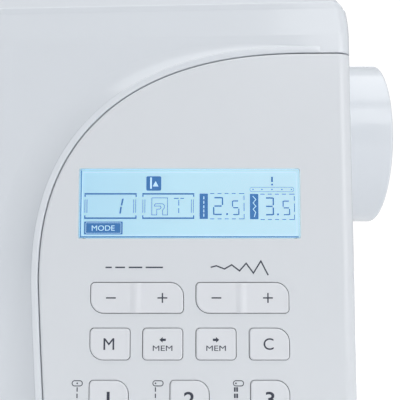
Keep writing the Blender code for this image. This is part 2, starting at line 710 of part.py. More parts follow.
def pulley_profile(shaft_radius, low, high):
    """A shaft with a toothed-belt pulley and its two flanges turned on it."""
    left, right = BELT_X - BELT_WIDTH / 2 - 0.0005, BELT_X + BELT_WIDTH / 2 + 0.0005
    flange, edge = PULLEY_RADIUS + 0.003, 0.0012
    return [
        (0, high), (shaft_radius, high), (shaft_radius, right + edge), (flange, right + edge),
        (flange, right), (PULLEY_RADIUS, right), (PULLEY_RADIUS, left), (flange, left),
        (flange, left - edge), (shaft_radius, left - edge), (shaft_radius, low), (0, low),
    ]


main_shaft = turned(
    "main_shaft", pulley_profile(SHAFT_RADIUS, CRANK_X[1] + GAP, SHAFT_END_X), "X", shaft_line, steps=24)
place_origin(main_shaft, shaft_line)
crank_disc = rod("crank_disc", CRANK_RADIUS, *CRANK_X, "X", shaft_line, steps=24)
CRANK_THROW = NEEDLE_STROKE / 2 - 0.003
weld(crank_disc, rod("crank_pin", 0.0025, CRANK_X[0] - 0.002, CRANK_X[1] - 0.001, "X",
                     (0, SHAFT_Y, SHAFT_Z + CRANK_THROW), helper=True, steps=12))
place_origin(crank_disc, shaft_line)
lower_shaft = turned(
    "lower_shaft", pulley_profile(LOWER_SHAFT_RADIUS, NEEDLE_X + 0.021, BELT_X + 0.025), "X", lower_line,
    steps=20)
place_origin(lower_shaft, lower_line)
paint(STEEL, main_shaft, lower_shaft)
paint(CAST, crank_disc)

# The handwheel: a flat-ended cup with a hub for the shaft.
RIM = 0.0032
WHEEL_END = 0.0035
WHEEL_LOW = SIDE_X + WHEEL_STANDOFF
WHEEL_HIGH = WIDTH / 2
HUB_RADIUS = 0.0125
BORE = SHAFT_RADIUS + GAP
WHEEL_DRAFT = 0.0004
handwheel = turned("handwheel", [
    (0, WHEEL_HIGH), (WHEEL_RADIUS - WHEEL_DRAFT - 0.0012, WHEEL_HIGH),
    (WHEEL_RADIUS - WHEEL_DRAFT, WHEEL_HIGH - 0.0012),
    (WHEEL_RADIUS, WHEEL_LOW + 0.0008), (WHEEL_RADIUS - 0.0008, WHEEL_LOW),
    (WHEEL_RADIUS - RIM, WHEEL_LOW),
    (WHEEL_RADIUS - RIM, WHEEL_HIGH - WHEEL_END - 0.003), (WHEEL_RADIUS - RIM - 0.003, WHEEL_HIGH - WHEEL_END),
    (HUB_RADIUS, WHEEL_HIGH - WHEEL_END), (HUB_RADIUS, WHEEL_LOW), (BORE, WHEEL_LOW),
    (BORE, SHAFT_END_X + GAP), (0, SHAFT_END_X + GAP),
], "X", shaft_line, steps=48)
place_origin(handwheel, shaft_line)
paint(WHITE, handwheel)

BELT_INNER = PULLEY_RADIUS + GAP


def belt_loop(radius, steps=12):
    """A loop of two half circles round the pulleys, joined by straight runs."""
    loop = []
    for middle, first in ((SHAFT_Z, 0), (LOWER_SHAFT_Z, math.pi)):
        for step in range(steps + 1):
            angle = first + math.pi * step / steps
            loop.append((SHAFT_Y + radius * math.cos(angle), middle + radius * math.sin(angle)))
    return loop


belt_ends = (BELT_X - BELT_WIDTH / 2, BELT_X + BELT_WIDTH / 2)
timing_belt = prism("timing_belt", belt_loop(BELT_INNER + BELT_THICKNESS), *belt_ends, "X")
cut(timing_belt, prism("belt_inside", belt_loop(BELT_INNER), belt_ends[0] - 0.001, belt_ends[1] + 0.001,
                       "X", helper=True))
paint(RUBBER, timing_belt)

MOTOR_RADIUS = 0.024
MOTOR_LINE = (0, 0.034, 0.120)
MOTOR_X = (0.108, 0.158)
MOTOR_PULLEY_X = (MOTOR_X[1] + 0.008, MOTOR_X[1] + 0.020)
MOTOR_SHAFT_RADIUS = 0.003
drive_motor = turned("drive_motor", [
    (0, MOTOR_PULLEY_X[0] + 0.010), (MOTOR_SHAFT_RADIUS, MOTOR_PULLEY_X[0] + 0.010),
    (MOTOR_SHAFT_RADIUS, MOTOR_X[1] + 0.004), (0.009, MOTOR_X[1] + 0.004), (0.009, MOTOR_X[1]),
    (MOTOR_RADIUS, MOTOR_X[1]), (MOTOR_RADIUS, MOTOR_X[0]), (0, MOTOR_X[0]),
], "X", MOTOR_LINE, steps=24)
paint(DARK_STEEL, drive_motor)
MOTOR_BORE = MOTOR_SHAFT_RADIUS + RUNNING
motor_pulley = turned("motor_pulley", [
    (0, MOTOR_PULLEY_X[1]), (0.0095, MOTOR_PULLEY_X[1]), (0.0095, MOTOR_PULLEY_X[1] - 0.001),
    (0.0075, MOTOR_PULLEY_X[1] - 0.001), (0.0075, MOTOR_PULLEY_X[0] + 0.001),
    (0.0095, MOTOR_PULLEY_X[0] + 0.001), (0.0095, MOTOR_PULLEY_X[0]), (MOTOR_BORE, MOTOR_PULLEY_X[0]),
    (MOTOR_BORE, MOTOR_PULLEY_X[0] + 0.0105), (0, MOTOR_PULLEY_X[0] + 0.0105),
], "X", MOTOR_LINE, steps=20)
place_origin(motor_pulley, MOTOR_LINE)
paint(BLACK, motor_pulley)


# ---- Inner frame -------------------------------------------------------------------------------

SPINE_PILLAR_X = (PILLAR_X + 0.010, PILLAR_X + 0.030)
frame_casting = box("frame_casting", (HEAD_X + 0.016, BELT_X - 0.014), SPINE_Y, (0.214, 0.254))
PIVOT_Z = 0.246
PIVOT_RADIUS = 0.003
weld(
    frame_casting,
    box("spine_pillar", SPINE_PILLAR_X, SPINE_Y, (BASE_TOP + WALL + 0.001, 0.240), helper=True),
    box("spine_bed", (-0.148, PILLAR_X + 0.020), SPINE_Y, SPINE_BED_Z, helper=True),
    box("bearing_left", (-0.128, -0.118), (-0.018, 0.028), (0.218, 0.246), helper=True),
    box("bearing_right", (0.052, 0.062), (-0.018, 0.028), (0.218, 0.246), helper=True),
    box("bearing_low_left", (-0.122, -0.112), (-0.016, 0.028), (0.046, 0.070), helper=True),
    box("bearing_low_right", (0.054, 0.064), (-0.016, 0.028), (0.046, 0.070), helper=True),
    box("pivot_lug", about(NEEDLE_X, 0.016), (0.0125, 0.028), (0.240, 0.252), helper=True),
    rod("pivot_pin", PIVOT_RADIUS, SHAFT_Y + 0.0042, 0.016, "Y", (NEEDLE_X, 0, PIVOT_Z), helper=True),
)
cut(
    frame_casting,
    rod("main_bore", SHAFT_RADIUS + RUNNING, -0.200, 0.200, "X", shaft_line, helper=True, steps=24),
    rod("lower_bore", LOWER_SHAFT_RADIUS + RUNNING, -0.200, 0.200, "X", lower_line, helper=True,
        steps=24),
)
paint(CAST, frame_casting)


# ---- Needle, presser foot and take-up ----------------------------------------------------------

NEEDLE_TIP_Z = BED_Z + NEEDLE_TIP_ABOVE_BED
CLAMP_Z = (NEEDLE_TIP_Z + NEEDLE_REACH, NEEDLE_TIP_Z + NEEDLE_REACH + 0.012)
NEEDLE_BAR_Z = (CLAMP_Z[0] + 0.0035, 0.240)
NEEDLE_SHANK = 0.0010
needle_axis = (NEEDLE_X, SHAFT_Y, 0)

# The rocking frame: a thin plate behind the needle bar, with two lugs that guide it.
FRAME_PLATE_Y = (SHAFT_Y + NEEDLE_BAR_RADIUS + 0.0008, SHAFT_Y + NEEDLE_BAR_RADIUS + 0.0036)
needle_bar_frame = prism(
    "needle_bar_frame",
    rounded([(NEEDLE_X - 0.008, 0.160, 0.001), (NEEDLE_X + 0.008, 0.160, 0.001),
             (NEEDLE_X + 0.008, PIVOT_Z + 0.007, 0.006), (NEEDLE_X - 0.008, PIVOT_Z + 0.007, 0.006)]),
    *FRAME_PLATE_Y, "Y")
for number, low in enumerate((0.160, 0.204)):
    lug = box(f"guide_lug_{number}", about(NEEDLE_X, 0.0125), (SHAFT_Y - 0.0062, FRAME_PLATE_Y[0] + 0.001),
              (low, low + 0.008), helper=True)
    weld(needle_bar_frame, lug)
    cut(needle_bar_frame, rod(f"guide_bore_{number}", NEEDLE_BAR_RADIUS + RUNNING, low - 0.001,
                              low + 0.009, "Z", needle_axis, helper=True))
cut(needle_bar_frame, rod("pivot_bore", PIVOT_RADIUS + RUNNING, FRAME_PLATE_Y[0] - 0.001,
                          FRAME_PLATE_Y[1] + 0.001, "Y", (NEEDLE_X, 0, PIVOT_Z), helper=True))
place_origin(needle_bar_frame, (NEEDLE_X, SHAFT_Y, PIVOT_Z))
paint(CAST, needle_bar_frame)

needle_bar = rod("needle_bar", NEEDLE_BAR_RADIUS, *NEEDLE_BAR_Z, "Z", needle_axis)
place_origin(needle_bar, (NEEDLE_X, SHAFT_Y, NEEDLE_BAR_Z[0]))
CLAMP_RADIUS = 0.0050
needle_clamp = turned("needle_clamp", [
    (0, NEEDLE_BAR_Z[0] - GAP), (NEEDLE_BAR_RADIUS + GAP, NEEDLE_BAR_Z[0] - GAP),
    (NEEDLE_BAR_RADIUS + GAP, CLAMP_Z[1]), (CLAMP_RADIUS, CLAMP_Z[1]), (CLAMP_RADIUS, CLAMP_Z[0] + 0.001),
    (CLAMP_RADIUS - 0.001, CLAMP_Z[0]), (NEEDLE_SHANK + GAP, CLAMP_Z[0]),
    (NEEDLE_SHANK + GAP, CLAMP_Z[0] + 0.0020), (0, CLAMP_Z[0] + 0.0020),
], "Z", needle_axis, steps=20)
weld(needle_clamp,
     rod("clamp_screw", 0.0018, NEEDLE_X + CLAMP_RADIUS - 0.001, NEEDLE_X + CLAMP_RADIUS + 0.004, "X",
         (0, SHAFT_Y, CLAMP_Z[0] + 0.007), helper=True, steps=12),
     rod("clamp_screw_head", 0.0032, NEEDLE_X + CLAMP_RADIUS + 0.003, NEEDLE_X + CLAMP_RADIUS + 0.009,
         "X", (0, SHAFT_Y, CLAMP_Z[0] + 0.007), helper=True, steps=12))
place_origin(needle_clamp, (NEEDLE_X, SHAFT_Y, CLAMP_Z[0]))
needle = turned("needle", [
    (0, CLAMP_Z[0] + 0.0016), (NEEDLE_SHANK, CLAMP_Z[0] + 0.0016), (NEEDLE_SHANK, CLAMP_Z[0] - 0.003),
    (NEEDLE_RADIUS, CLAMP_Z[0] - 0.005), (NEEDLE_RADIUS, NEEDLE_TIP_Z + 0.003), (0, NEEDLE_TIP_Z),
], "Z", needle_axis, steps=10)
place_origin(needle, (NEEDLE_X, SHAFT_Y, NEEDLE_TIP_Z))
paint(STEEL, needle_bar, needle_clamp, needle)

FOOT_BOTTOM_Z = BED_Z + FOOT_CLEARANCE
FOOT_PIVOT_Z = FOOT_BOTTOM_Z + 0.0095
presser_axis = (NEEDLE_X, PRESSER_Y, 0)
SHANK_HALF = 0.0045
presser_bar = rod("presser_bar", PRESSER_RADIUS, FOOT_PIVOT_Z + 0.006, 0.236, "Z", presser_axis)
weld(presser_bar, box("presser_shank", (NEEDLE_X - SHANK_HALF, NEEDLE_X + SHANK_HALF),
                      about(PRESSER_Y, 0.0086), (FOOT_PIVOT_Z - 0.003, FOOT_PIVOT_Z + 0.016), helper=True))
place_origin(presser_bar, (NEEDLE_X, PRESSER_Y, FOOT_PIVOT_Z))
FOOT_HALF = 0.0115
FOOT_Y = (SHAFT_Y - 0.0135, PRESSER_Y + 0.008)
TOE_SLOT = 0.0094
foot_plan = rounded([
    (NEEDLE_X - FOOT_HALF, FOOT_Y[0], 0.002), (NEEDLE_X - TOE_SLOT / 2, FOOT_Y[0], 0.001),
    (NEEDLE_X - TOE_SLOT / 2, SHAFT_Y + 0.002, 0), (NEEDLE_X + TOE_SLOT / 2, SHAFT_Y + 0.002, 0),
    (NEEDLE_X + TOE_SLOT / 2, FOOT_Y[0], 0.001), (NEEDLE_X + FOOT_HALF, FOOT_Y[0], 0.002),
    (NEEDLE_X + FOOT_HALF, FOOT_Y[1], 0.003), (NEEDLE_X - FOOT_HALF, FOOT_Y[1], 0.003)], 2)
SOLE = 0.0022
presser_foot = prism("presser_foot", foot_plan, FOOT_BOTTOM_Z, FOOT_BOTTOM_Z + SOLE, "Z")
for side in (-1, 1):
    inner = NEEDLE_X + side * (SHANK_HALF + RUNNING)
    outer = inner + side * 0.002
    weld(presser_foot, box(f"foot_ear_{'left' if side < 0 else 'right'}", tuple(sorted((inner, outer))),
                           about(PRESSER_Y, 0.007), (FOOT_BOTTOM_Z + SOLE / 2, FOOT_PIVOT_Z + 0.003),
                           helper=True))
place_origin(presser_foot, (NEEDLE_X, PRESSER_Y, FOOT_PIVOT_Z))
paint(STEEL, presser_bar, presser_foot)

# The presser foot lifter, on the back of the head.
lifter_lever = prism(
    "lifter_lever",
    rounded([(LEVER_AT[0] - 0.006, LEVER_AT[1] - 0.040, 0.004), (LEVER_AT[0] + 0.006, LEVER_AT[1] - 0.040, 0.004),
             (LEVER_AT[0] + 0.006, LEVER_AT[1] + 0.007, 0.0055), (LEVER_AT[0] - 0.006, LEVER_AT[1] + 0.007, 0.0055)]),
    REAR_Y + 0.001, REAR_Y + 0.007, "Y")
round_edges(lifter_lever, 0.001, 2)
weld(lifter_lever, rod("lever_hub", LEVER_HUB_RADIUS, REAR_Y - 0.012, REAR_Y + 0.004, "Y",
                       (LEVER_AT[0], 0, LEVER_AT[1]), helper=True))
place_origin(lifter_lever, (LEVER_AT[0], REAR_Y, LEVER_AT[1]))
paint(GREY, lifter_lever)

# The take-up lever: an arm on a hub, its eye standing out of the left thread slot.
TAKE_UP_AXIS = (TAKE_UP_X, -0.020, 0.222)
TAKE_UP_THICKNESS = 0.0022
TAKE_UP_REACH = 0.054
TAKE_UP_RISE = math.radians(18)
take_up_lever = prism(
    "take_up_lever",
    rounded([(0.0055, -0.0055, 0.005), (0.0055, 0.0055, 0.005), (-TAKE_UP_REACH, 0.0030, 0.0028),
             (-TAKE_UP_REACH, -0.0030, 0.0028)]),
    -TAKE_UP_THICKNESS / 2, TAKE_UP_THICKNESS / 2, "X")
take_up_eye = rod("take_up_eye", 0.0010, -0.010, 0.010, "X", (0, -TAKE_UP_REACH + 0.0032, 0), helper=True,
                  steps=10)
for shape in (take_up_lever, take_up_eye):
    shape.data.transform(Matrix.Translation(Vector(TAKE_UP_AXIS)) @ Matrix.Rotation(-TAKE_UP_RISE, 4, "X"))
cut(take_up_lever, take_up_eye)
place_origin(take_up_lever, TAKE_UP_AXIS)
paint(STEEL, take_up_lever)


# ---- Hook, bobbin, plate and feed --------------------------------------------------------------

hook_axis = (NEEDLE_X, HOOK_Y, 0)
HOOK_Z = (0.059, 0.0735)
HOOK_WALL = 0.0016
HOOK_FLOOR = 0.0022
CASE_ROOM = 0.0004
CASE_WALL = 0.0014
CASE_RADIUS = HOOK_RADIUS - HOOK_WALL - CASE_ROOM
CASE_BOTTOM_Z = HOOK_Z[0] + HOOK_FLOOR + CASE_ROOM
BOBBIN_BOTTOM_Z = CASE_BOTTOM_Z + CASE_WALL + CASE_ROOM


def cup_profile(radius, wall, floor, low, high):
    return [
        (0, low + floor), (radius - wall, low + floor), (radius - wall, high), (radius, high),
        (radius, low), (0, low),
    ]


HOOK_STEM = 0.005
rotary_hook = turned("rotary_hook", cup_profile(HOOK_RADIUS, HOOK_WALL, HOOK_FLOOR, *HOOK_Z), "Z",
                     hook_axis, steps=28)
weld(rotary_hook, rod("hook_stem", HOOK_STEM, FREE_ARM_UNDERSIDE_Z + WALL + 0.002, HOOK_Z[0] + 0.001, "Z",
                      hook_axis, helper=True))
place_origin(rotary_hook, (NEEDLE_X, HOOK_Y, HOOK_Z[0]))
bobbin_case = turned("bobbin_case", cup_profile(
    CASE_RADIUS, CASE_WALL, CASE_WALL, CASE_BOTTOM_Z, BOBBIN_BOTTOM_Z + BOBBIN_HEIGHT + 0.001),
    "Z", hook_axis, steps=28)
BOBBIN_CORE = 0.0042
BOBBIN_BORE = 0.0030
BOBBIN_CHEEK = 0.0010
bobbin_high = BOBBIN_BOTTOM_Z + BOBBIN_HEIGHT
bobbin_inner = [(BOBBIN_BORE, BOBBIN_BOTTOM_Z), (BOBBIN_BORE, bobbin_high)]
bobbin = turned("bobbin", [
    *bobbin_inner, (BOBBIN_RADIUS, bobbin_high), (BOBBIN_RADIUS, bobbin_high - BOBBIN_CHEEK),
    (BOBBIN_CORE, bobbin_high - BOBBIN_CHEEK), (BOBBIN_CORE, BOBBIN_BOTTOM_Z + BOBBIN_CHEEK),
    (BOBBIN_RADIUS, BOBBIN_BOTTOM_Z + BOBBIN_CHEEK), (BOBBIN_RADIUS, BOBBIN_BOTTOM_Z), bobbin_inner[0],
], "Z", hook_axis, steps=24)
place_origin(bobbin, (NEEDLE_X, HOOK_Y, BOBBIN_BOTTOM_Z))
paint(DARK_STEEL, rotary_hook)
paint(BLACK, bobbin_case)
paint(CLEAR, bobbin)

PLATE_LOW_Z = BED_Z - PLATE_THICKNESS
FEED_ROW_OFFSET = 0.0068
FEED_ROW_WIDTH = 0.0034
FEED_TRAVEL = 0.0025
FEED_REST_DROP = 0.0003
FEED_Y = (SHAFT_Y - 0.0015, SHAFT_Y + 0.0200)
SLOT_ROOM = 0.0008
needle_plate = box("needle_plate", PLATE_X, PLATE_Y, (PLATE_LOW_Z, BED_Z))
plate_cuts = [prism("needle_slot", rectangle(about(NEEDLE_X, 0.0086), about(SHAFT_Y, 0.0022), 0.001, 3),
                    PLATE_LOW_Z - 0.001, BED_Z + 0.001, helper=True)]
for side in (-1, 1):
    plate_cuts.append(box(
        f"feed_slot_{'left' if side < 0 else 'right'}",
        about(NEEDLE_X + side * FEED_ROW_OFFSET, FEED_ROW_WIDTH + 2 * SLOT_ROOM),
        (FEED_Y[0] - FEED_TRAVEL - SLOT_ROOM, FEED_Y[1] + FEED_TRAVEL + SLOT_ROOM),
        (PLATE_LOW_Z - 0.001, BED_Z + 0.001), helper=True))
cut(needle_plate, *plate_cuts)
paint(STEEL, needle_plate)

bobbin_cover = box("bobbin_cover", COVER_X, COVER_Y, (PLATE_LOW_Z, BED_Z))
cut(bobbin_cover, prism(
    "finger_dip", rectangle(about((COVER_X[0] + COVER_X[1]) / 2, 0.014), about(COVER_Y[0] + 0.006, 0.005),
                            0.0024, 3), BED_Z - 0.001, BED_Z + 0.001, helper=True))
place_origin(bobbin_cover, (NEEDLE_X, HOOK_Y, BED_Z))
paint(CLEAR, bobbin_cover)

FEED_BAR_Z = (0.061, 0.069)
FEED_DOG_LOW_Z = FEED_BAR_Z[1] + GAP * 2
FEED_TOP_Z = BED_Z - FEED_REST_DROP
ROW_LOW_Z = 0.0765
feed_carrier = box("feed_carrier", about(NEEDLE_X, 0.018), (SHAFT_Y + 0.0075, SHAFT_Y + 0.044), FEED_BAR_Z,
                   edge=0.0008, segments=1)
place_origin(feed_carrier, (NEEDLE_X, SHAFT_Y, FEED_BAR_Z[1]))
feed_dog = box("feed_dog", about(NEEDLE_X, 2 * FEED_ROW_OFFSET + FEED_ROW_WIDTH),
               (SHAFT_Y + 0.0080, SHAFT_Y + 0.0180), (FEED_DOG_LOW_Z, ROW_LOW_Z + 0.002))
TEETH = 7


def toothed_row(name, x_middle):
    """A feed row seen from its side: a bar with saw teeth along its top."""
    length = FEED_Y[1] - FEED_Y[0]
    pitch, depth = length / TEETH, 0.0011
    outline = [(FEED_Y[0], ROW_LOW_Z), (FEED_Y[1], ROW_LOW_Z), (FEED_Y[1], FEED_TOP_Z - depth)]
    for tooth in reversed(range(TEETH)):
        start = FEED_Y[0] + tooth * pitch
        outline += [(start + pitch * 0.55, FEED_TOP_Z), (start, FEED_TOP_Z - depth)]
    return prism(name, outline, *about(x_middle, FEED_ROW_WIDTH), "X", helper=True)


weld(feed_dog, toothed_row("feed_row_left", NEEDLE_X - FEED_ROW_OFFSET),
     toothed_row("feed_row_right", NEEDLE_X + FEED_ROW_OFFSET))
place_origin(feed_dog, (NEEDLE_X, SHAFT_Y, FEED_TOP_Z))
paint(DARK_STEEL, feed_carrier, feed_dog)


# ---- Controls, handle and trim -----------------------------------------------------------------

def button_profile(radius, back, front):
    """A round button laid along Y: its low end is the front, with a soft edge."""
    return [(0, back), (radius, back), (radius, front + 0.0008), (radius - 0.0008, front), (0, front)]


BUTTON_PROUD = 0.0022
for name, (x, z) in BUTTON_AT.items():
    front = front_y(x) - BUTTON_PROUD
    button = turned(name, button_profile(BUTTON_RADIUS, front + 0.010, front), "Y", (x, 0, z), steps=20)
    place_origin(button, (x, front, z))
    paint(GREY, button)

tension_front = front_y(TENSION_AT[0])
TENSION_RADIUS = 0.0115
tension_dial = turned("tension_dial", [
    (0, tension_front + 0.010), (TENSION_HUB_RADIUS, tension_front + 0.010),
    (TENSION_HUB_RADIUS, tension_front - 0.0012), (TENSION_RADIUS, tension_front - 0.0012),
    (TENSION_RADIUS - 0.0006, tension_front - 0.008), (TENSION_RADIUS - 0.0018, tension_front - 0.009),
    (0, tension_front - 0.009),
], "Y", (TENSION_AT[0], 0, TENSION_AT[1]), steps=28)
place_origin(tension_dial, (TENSION_AT[0], tension_front, TENSION_AT[1]))
paint(KEY_WHITE, tension_dial)

FACE_THICKNESS = 0.0060
FACE_X = (HEAD_X - GAP - FACE_THICKNESS, HEAD_X - GAP)
FACE_Y = (-0.052, 0.054)
face_cover = prism("face_cover", rectangle(FACE_Y, (HEAD_Z + 0.008, DECK_Z - 0.008), 0.014), *FACE_X, "X")
round_edges(face_cover, 0.0022, 2)
PRESSURE_AT = (0.006, 0.226)
pressure_seat = rod("pressure_seat", 0.0040 + RUNNING, FACE_X[0] - 0.001, FACE_X[0] + 0.0045, "X",
                    (0, *PRESSURE_AT), helper=True)
cut(face_cover, pressure_seat)
paint(WHITE, face_cover)
pressure_dial = turned("pressure_dial", [
    (0, FACE_X[0] + 0.004), (0.0040, FACE_X[0] + 0.004), (0.0040, FACE_X[0] - 0.0005),
    (0.0105, FACE_X[0] - 0.0005), (0.0100, FACE_X[0] - 0.0065), (0.0090, FACE_X[0] - 0.0075),
    (0, FACE_X[0] - 0.0075),
], "X", (0, *PRESSURE_AT), steps=24)
place_origin(pressure_dial, (FACE_X[0], *PRESSURE_AT))
paint(KEY_WHITE, pressure_dial)

SPEED_KNOB = 0.011
SPEED_REST_X = SPEED_X[0] + SPEED_KNOB / 2 + 0.001
speed_front = front_y(SPEED_REST_X) + WALL
speed_slider = box("speed_slider", about(SPEED_REST_X, 0.0060), (speed_front - 0.0080, speed_front + 0.0040),
                   about(SPEED_Z, SPEED_SLOT_HEIGHT - 2 * GAP))
weld(speed_slider, box("speed_knob", about(SPEED_REST_X, SPEED_KNOB),
                       (front_y(SPEED_X[1]) - 0.0065, front_y(SPEED_X[1]) - 0.0010),
                       about(SPEED_Z, 0.010), helper=True))
place_origin(speed_slider, (SPEED_REST_X, speed_front, SPEED_Z))
paint(GREY, speed_slider)

switch_middle = (SIDE_X - 0.002, sum(SWITCH_Y) / 2, sum(SWITCH_Z) / 2)
power_switch = prism(
    "power_switch",
    rounded([(SIDE_X - 0.007, SWITCH_Y[0] + SLIDING * 2, 0.001), (SIDE_X + 0.0022, SWITCH_Y[0] + SLIDING * 2, 0.001),
             (SIDE_X + 0.0008, switch_middle[1], 0), (SIDE_X + 0.0022, SWITCH_Y[1] - SLIDING * 2, 0.001),
             (SIDE_X - 0.007, SWITCH_Y[1] - SLIDING * 2, 0.001)], 2),
    SWITCH_Z[0] + SLIDING, SWITCH_Z[1] - SLIDING)
place_origin(power_switch, switch_middle)
paint(BLACK, power_switch)
power_inlet = box("power_inlet", (SIDE_X - 0.022, SIDE_X - 0.0004), (INLET_Y[0] + GAP, INLET_Y[1] - GAP),
                  (INLET_Z[0] + GAP, INLET_Z[1] - GAP))
cut(power_inlet, box("inlet_socket", (SIDE_X - 0.017, SIDE_X + 0.005), (INLET_Y[0] + 0.002, INLET_Y[1] - 0.002),
                     (INLET_Z[0] + 0.002, INLET_Z[1] - 0.002), helper=True))
paint(BLACK, power_inlet)

spool_pin = box("spool_pin", (0.052, 0.062), (-0.022, -0.006), (DECK_Z + GAP, DECK_Z + 0.020), edge=0.002)
weld(spool_pin, rod("spool_rod", 0.0025, -0.038, 0.054, "X", (0, -0.014, DECK_Z + 0.0140), helper=True,
                    steps=12))
paint(KEY_WHITE, spool_pin)
winder_spindle = turned("winder_spindle", [
    (0, DECK_Z + 0.0180), (WINDER_RADIUS - 0.0006, DECK_Z + 0.0180), (WINDER_RADIUS, DECK_Z + 0.0172),
    (WINDER_RADIUS, DECK_Z + 0.0030), (0.010, DECK_Z + 0.0030), (0.010, DECK_Z + 0.0012),
    (WINDER_RADIUS, DECK_Z + 0.0012), (WINDER_RADIUS, DECK_Z - 0.010), (0, DECK_Z - 0.010),
], "Z", (*WINDER_AT, 0), steps=20)
place_origin(winder_spindle, (*WINDER_AT, DECK_Z))
paint(KEY_WHITE, winder_spindle)

# The carrying handle: a bail that hangs from the two ears and swings right up.
HANDLE_DROP = 0.066
HANDLE_GRIP = 0.015
handle_low = HANDLE_AXIS_Z - HANDLE_DROP
HANDLE_SIDE = 0.011
x_left, x_right = HANDLE_X[0] + GAP, HANDLE_X[1] - GAP
carry_handle = prism("carry_handle", rounded([
    (x_left, HANDLE_AXIS_Z + 0.007, 0.003), (x_left, handle_low, 0.018), (x_right, handle_low, 0.018),
    (x_right, HANDLE_AXIS_Z + 0.007, 0.003), (x_right - HANDLE_SIDE, HANDLE_AXIS_Z + 0.007, 0.003),
    (x_right - HANDLE_SIDE, handle_low + HANDLE_GRIP, 0.012),
    (x_left + HANDLE_SIDE, handle_low + HANDLE_GRIP, 0.012), (x_left + HANDLE_SIDE, HANDLE_AXIS_Z + 0.007, 0.003),
]), *about(HANDLE_AXIS_Y, HANDLE_BAR), "Y")
round_edges(carry_handle, 0.0024, 2)
for side, x in (("left", x_left - EAR_WIDTH * 0.7), ("right", x_right - 0.002)):
    weld(carry_handle, rod(f"{side}_pin", HANDLE_PIN_RADIUS, x, x + EAR_WIDTH * 0.7 + 0.002, "X",
                           (0, HANDLE_AXIS_Y, HANDLE_AXIS_Z), helper=True, steps=12))
place_origin(carry_handle, (0, HANDLE_AXIS_Y, HANDLE_AXIS_Z))
paint(WHITE, carry_handle)
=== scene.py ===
"""Computerised free-arm sewing machine: the finished surfaces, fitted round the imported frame."""

import math

import bmesh
import bpy
import numpy as np
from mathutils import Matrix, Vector


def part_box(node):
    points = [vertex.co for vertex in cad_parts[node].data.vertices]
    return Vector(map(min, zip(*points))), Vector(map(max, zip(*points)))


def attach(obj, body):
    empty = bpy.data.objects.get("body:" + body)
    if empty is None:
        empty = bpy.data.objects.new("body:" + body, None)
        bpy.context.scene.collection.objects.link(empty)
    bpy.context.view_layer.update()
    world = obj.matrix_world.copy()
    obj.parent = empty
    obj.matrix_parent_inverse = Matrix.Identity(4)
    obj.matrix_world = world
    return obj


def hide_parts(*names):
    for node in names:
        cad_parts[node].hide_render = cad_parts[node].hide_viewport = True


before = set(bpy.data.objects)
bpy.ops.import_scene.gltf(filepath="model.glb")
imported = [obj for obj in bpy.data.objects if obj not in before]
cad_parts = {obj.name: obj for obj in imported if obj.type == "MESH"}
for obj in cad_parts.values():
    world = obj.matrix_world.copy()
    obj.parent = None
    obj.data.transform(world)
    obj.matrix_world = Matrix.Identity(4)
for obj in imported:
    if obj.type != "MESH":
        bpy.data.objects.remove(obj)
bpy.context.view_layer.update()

MM = 0.001


def node_box(node):
    """The low and high corners of a CAD node, in metres."""
    low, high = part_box(node)
    return np.array(low), np.array(high)


# ---- Places taken from the frame ---------------------------------------------------------------

COVER_LOW, COVER_HIGH = node_box("front_cover")
REAR_HIGH = node_box("rear_cover")[1]
PANEL_LOW, PANEL_HIGH = node_box("control_panel")
LID_LOW, LID_HIGH = node_box("top_lid")
WHEEL_LOW, WHEEL_HIGH = node_box("handwheel")
BOX_LOW, BOX_HIGH = node_box("accessory_box")
ARM_LOW, ARM_HIGH = node_box("free_arm_cover")
BASE_LOW, BASE_HIGH = node_box("base_tray")
FACE_LOW, FACE_HIGH = node_box("face_cover")
SCREEN_LOW, SCREEN_HIGH = node_box("lcd_window")

SIDE_X = COVER_HIGH[0]
FRONT_Y = PANEL_LOW[1]
PARTING_Y = COVER_HIGH[1]
REAR_Y = LID_HIGH[1] + 3.1 * MM
DECK_Z = COVER_HIGH[2]
LEAN = 0.048
SHAFT_Y = (WHEEL_LOW[1] + WHEEL_HIGH[1]) / 2
SHAFT_Z = (WHEEL_LOW[2] + WHEEL_HIGH[2]) / 2


# ---- Materials ---------------------------------------------------------------------------------

def linear(hex_colour):
    """An sRGB hex colour as linear red, green, blue and alpha."""
    values = [int(hex_colour[i:i + 2], 16) / 255 for i in (1, 3, 5)]
    return (*[v / 12.92 if v <= 0.04045 else ((v + 0.055) / 1.055) ** 2.4 for v in values], 1.0)


def node(tree, kind, links=(), **settings):
    """Adds a node, sets its properties and named inputs, and links (input, output socket) pairs."""
    made = tree.nodes.new(kind)
    for key, value in settings.items():
        name = key.replace("_", " ")
        socket = next((s for s in made.inputs if s.name.lower() == name.lower()), None)
        if hasattr(made, key) and not (socket and key in ("scale", "color")):
            setattr(made, key, value)
        elif socket is not None:
            socket.default_value = value
    for target, source in links:
        tree.links.new(source, made.inputs[target])
    return made


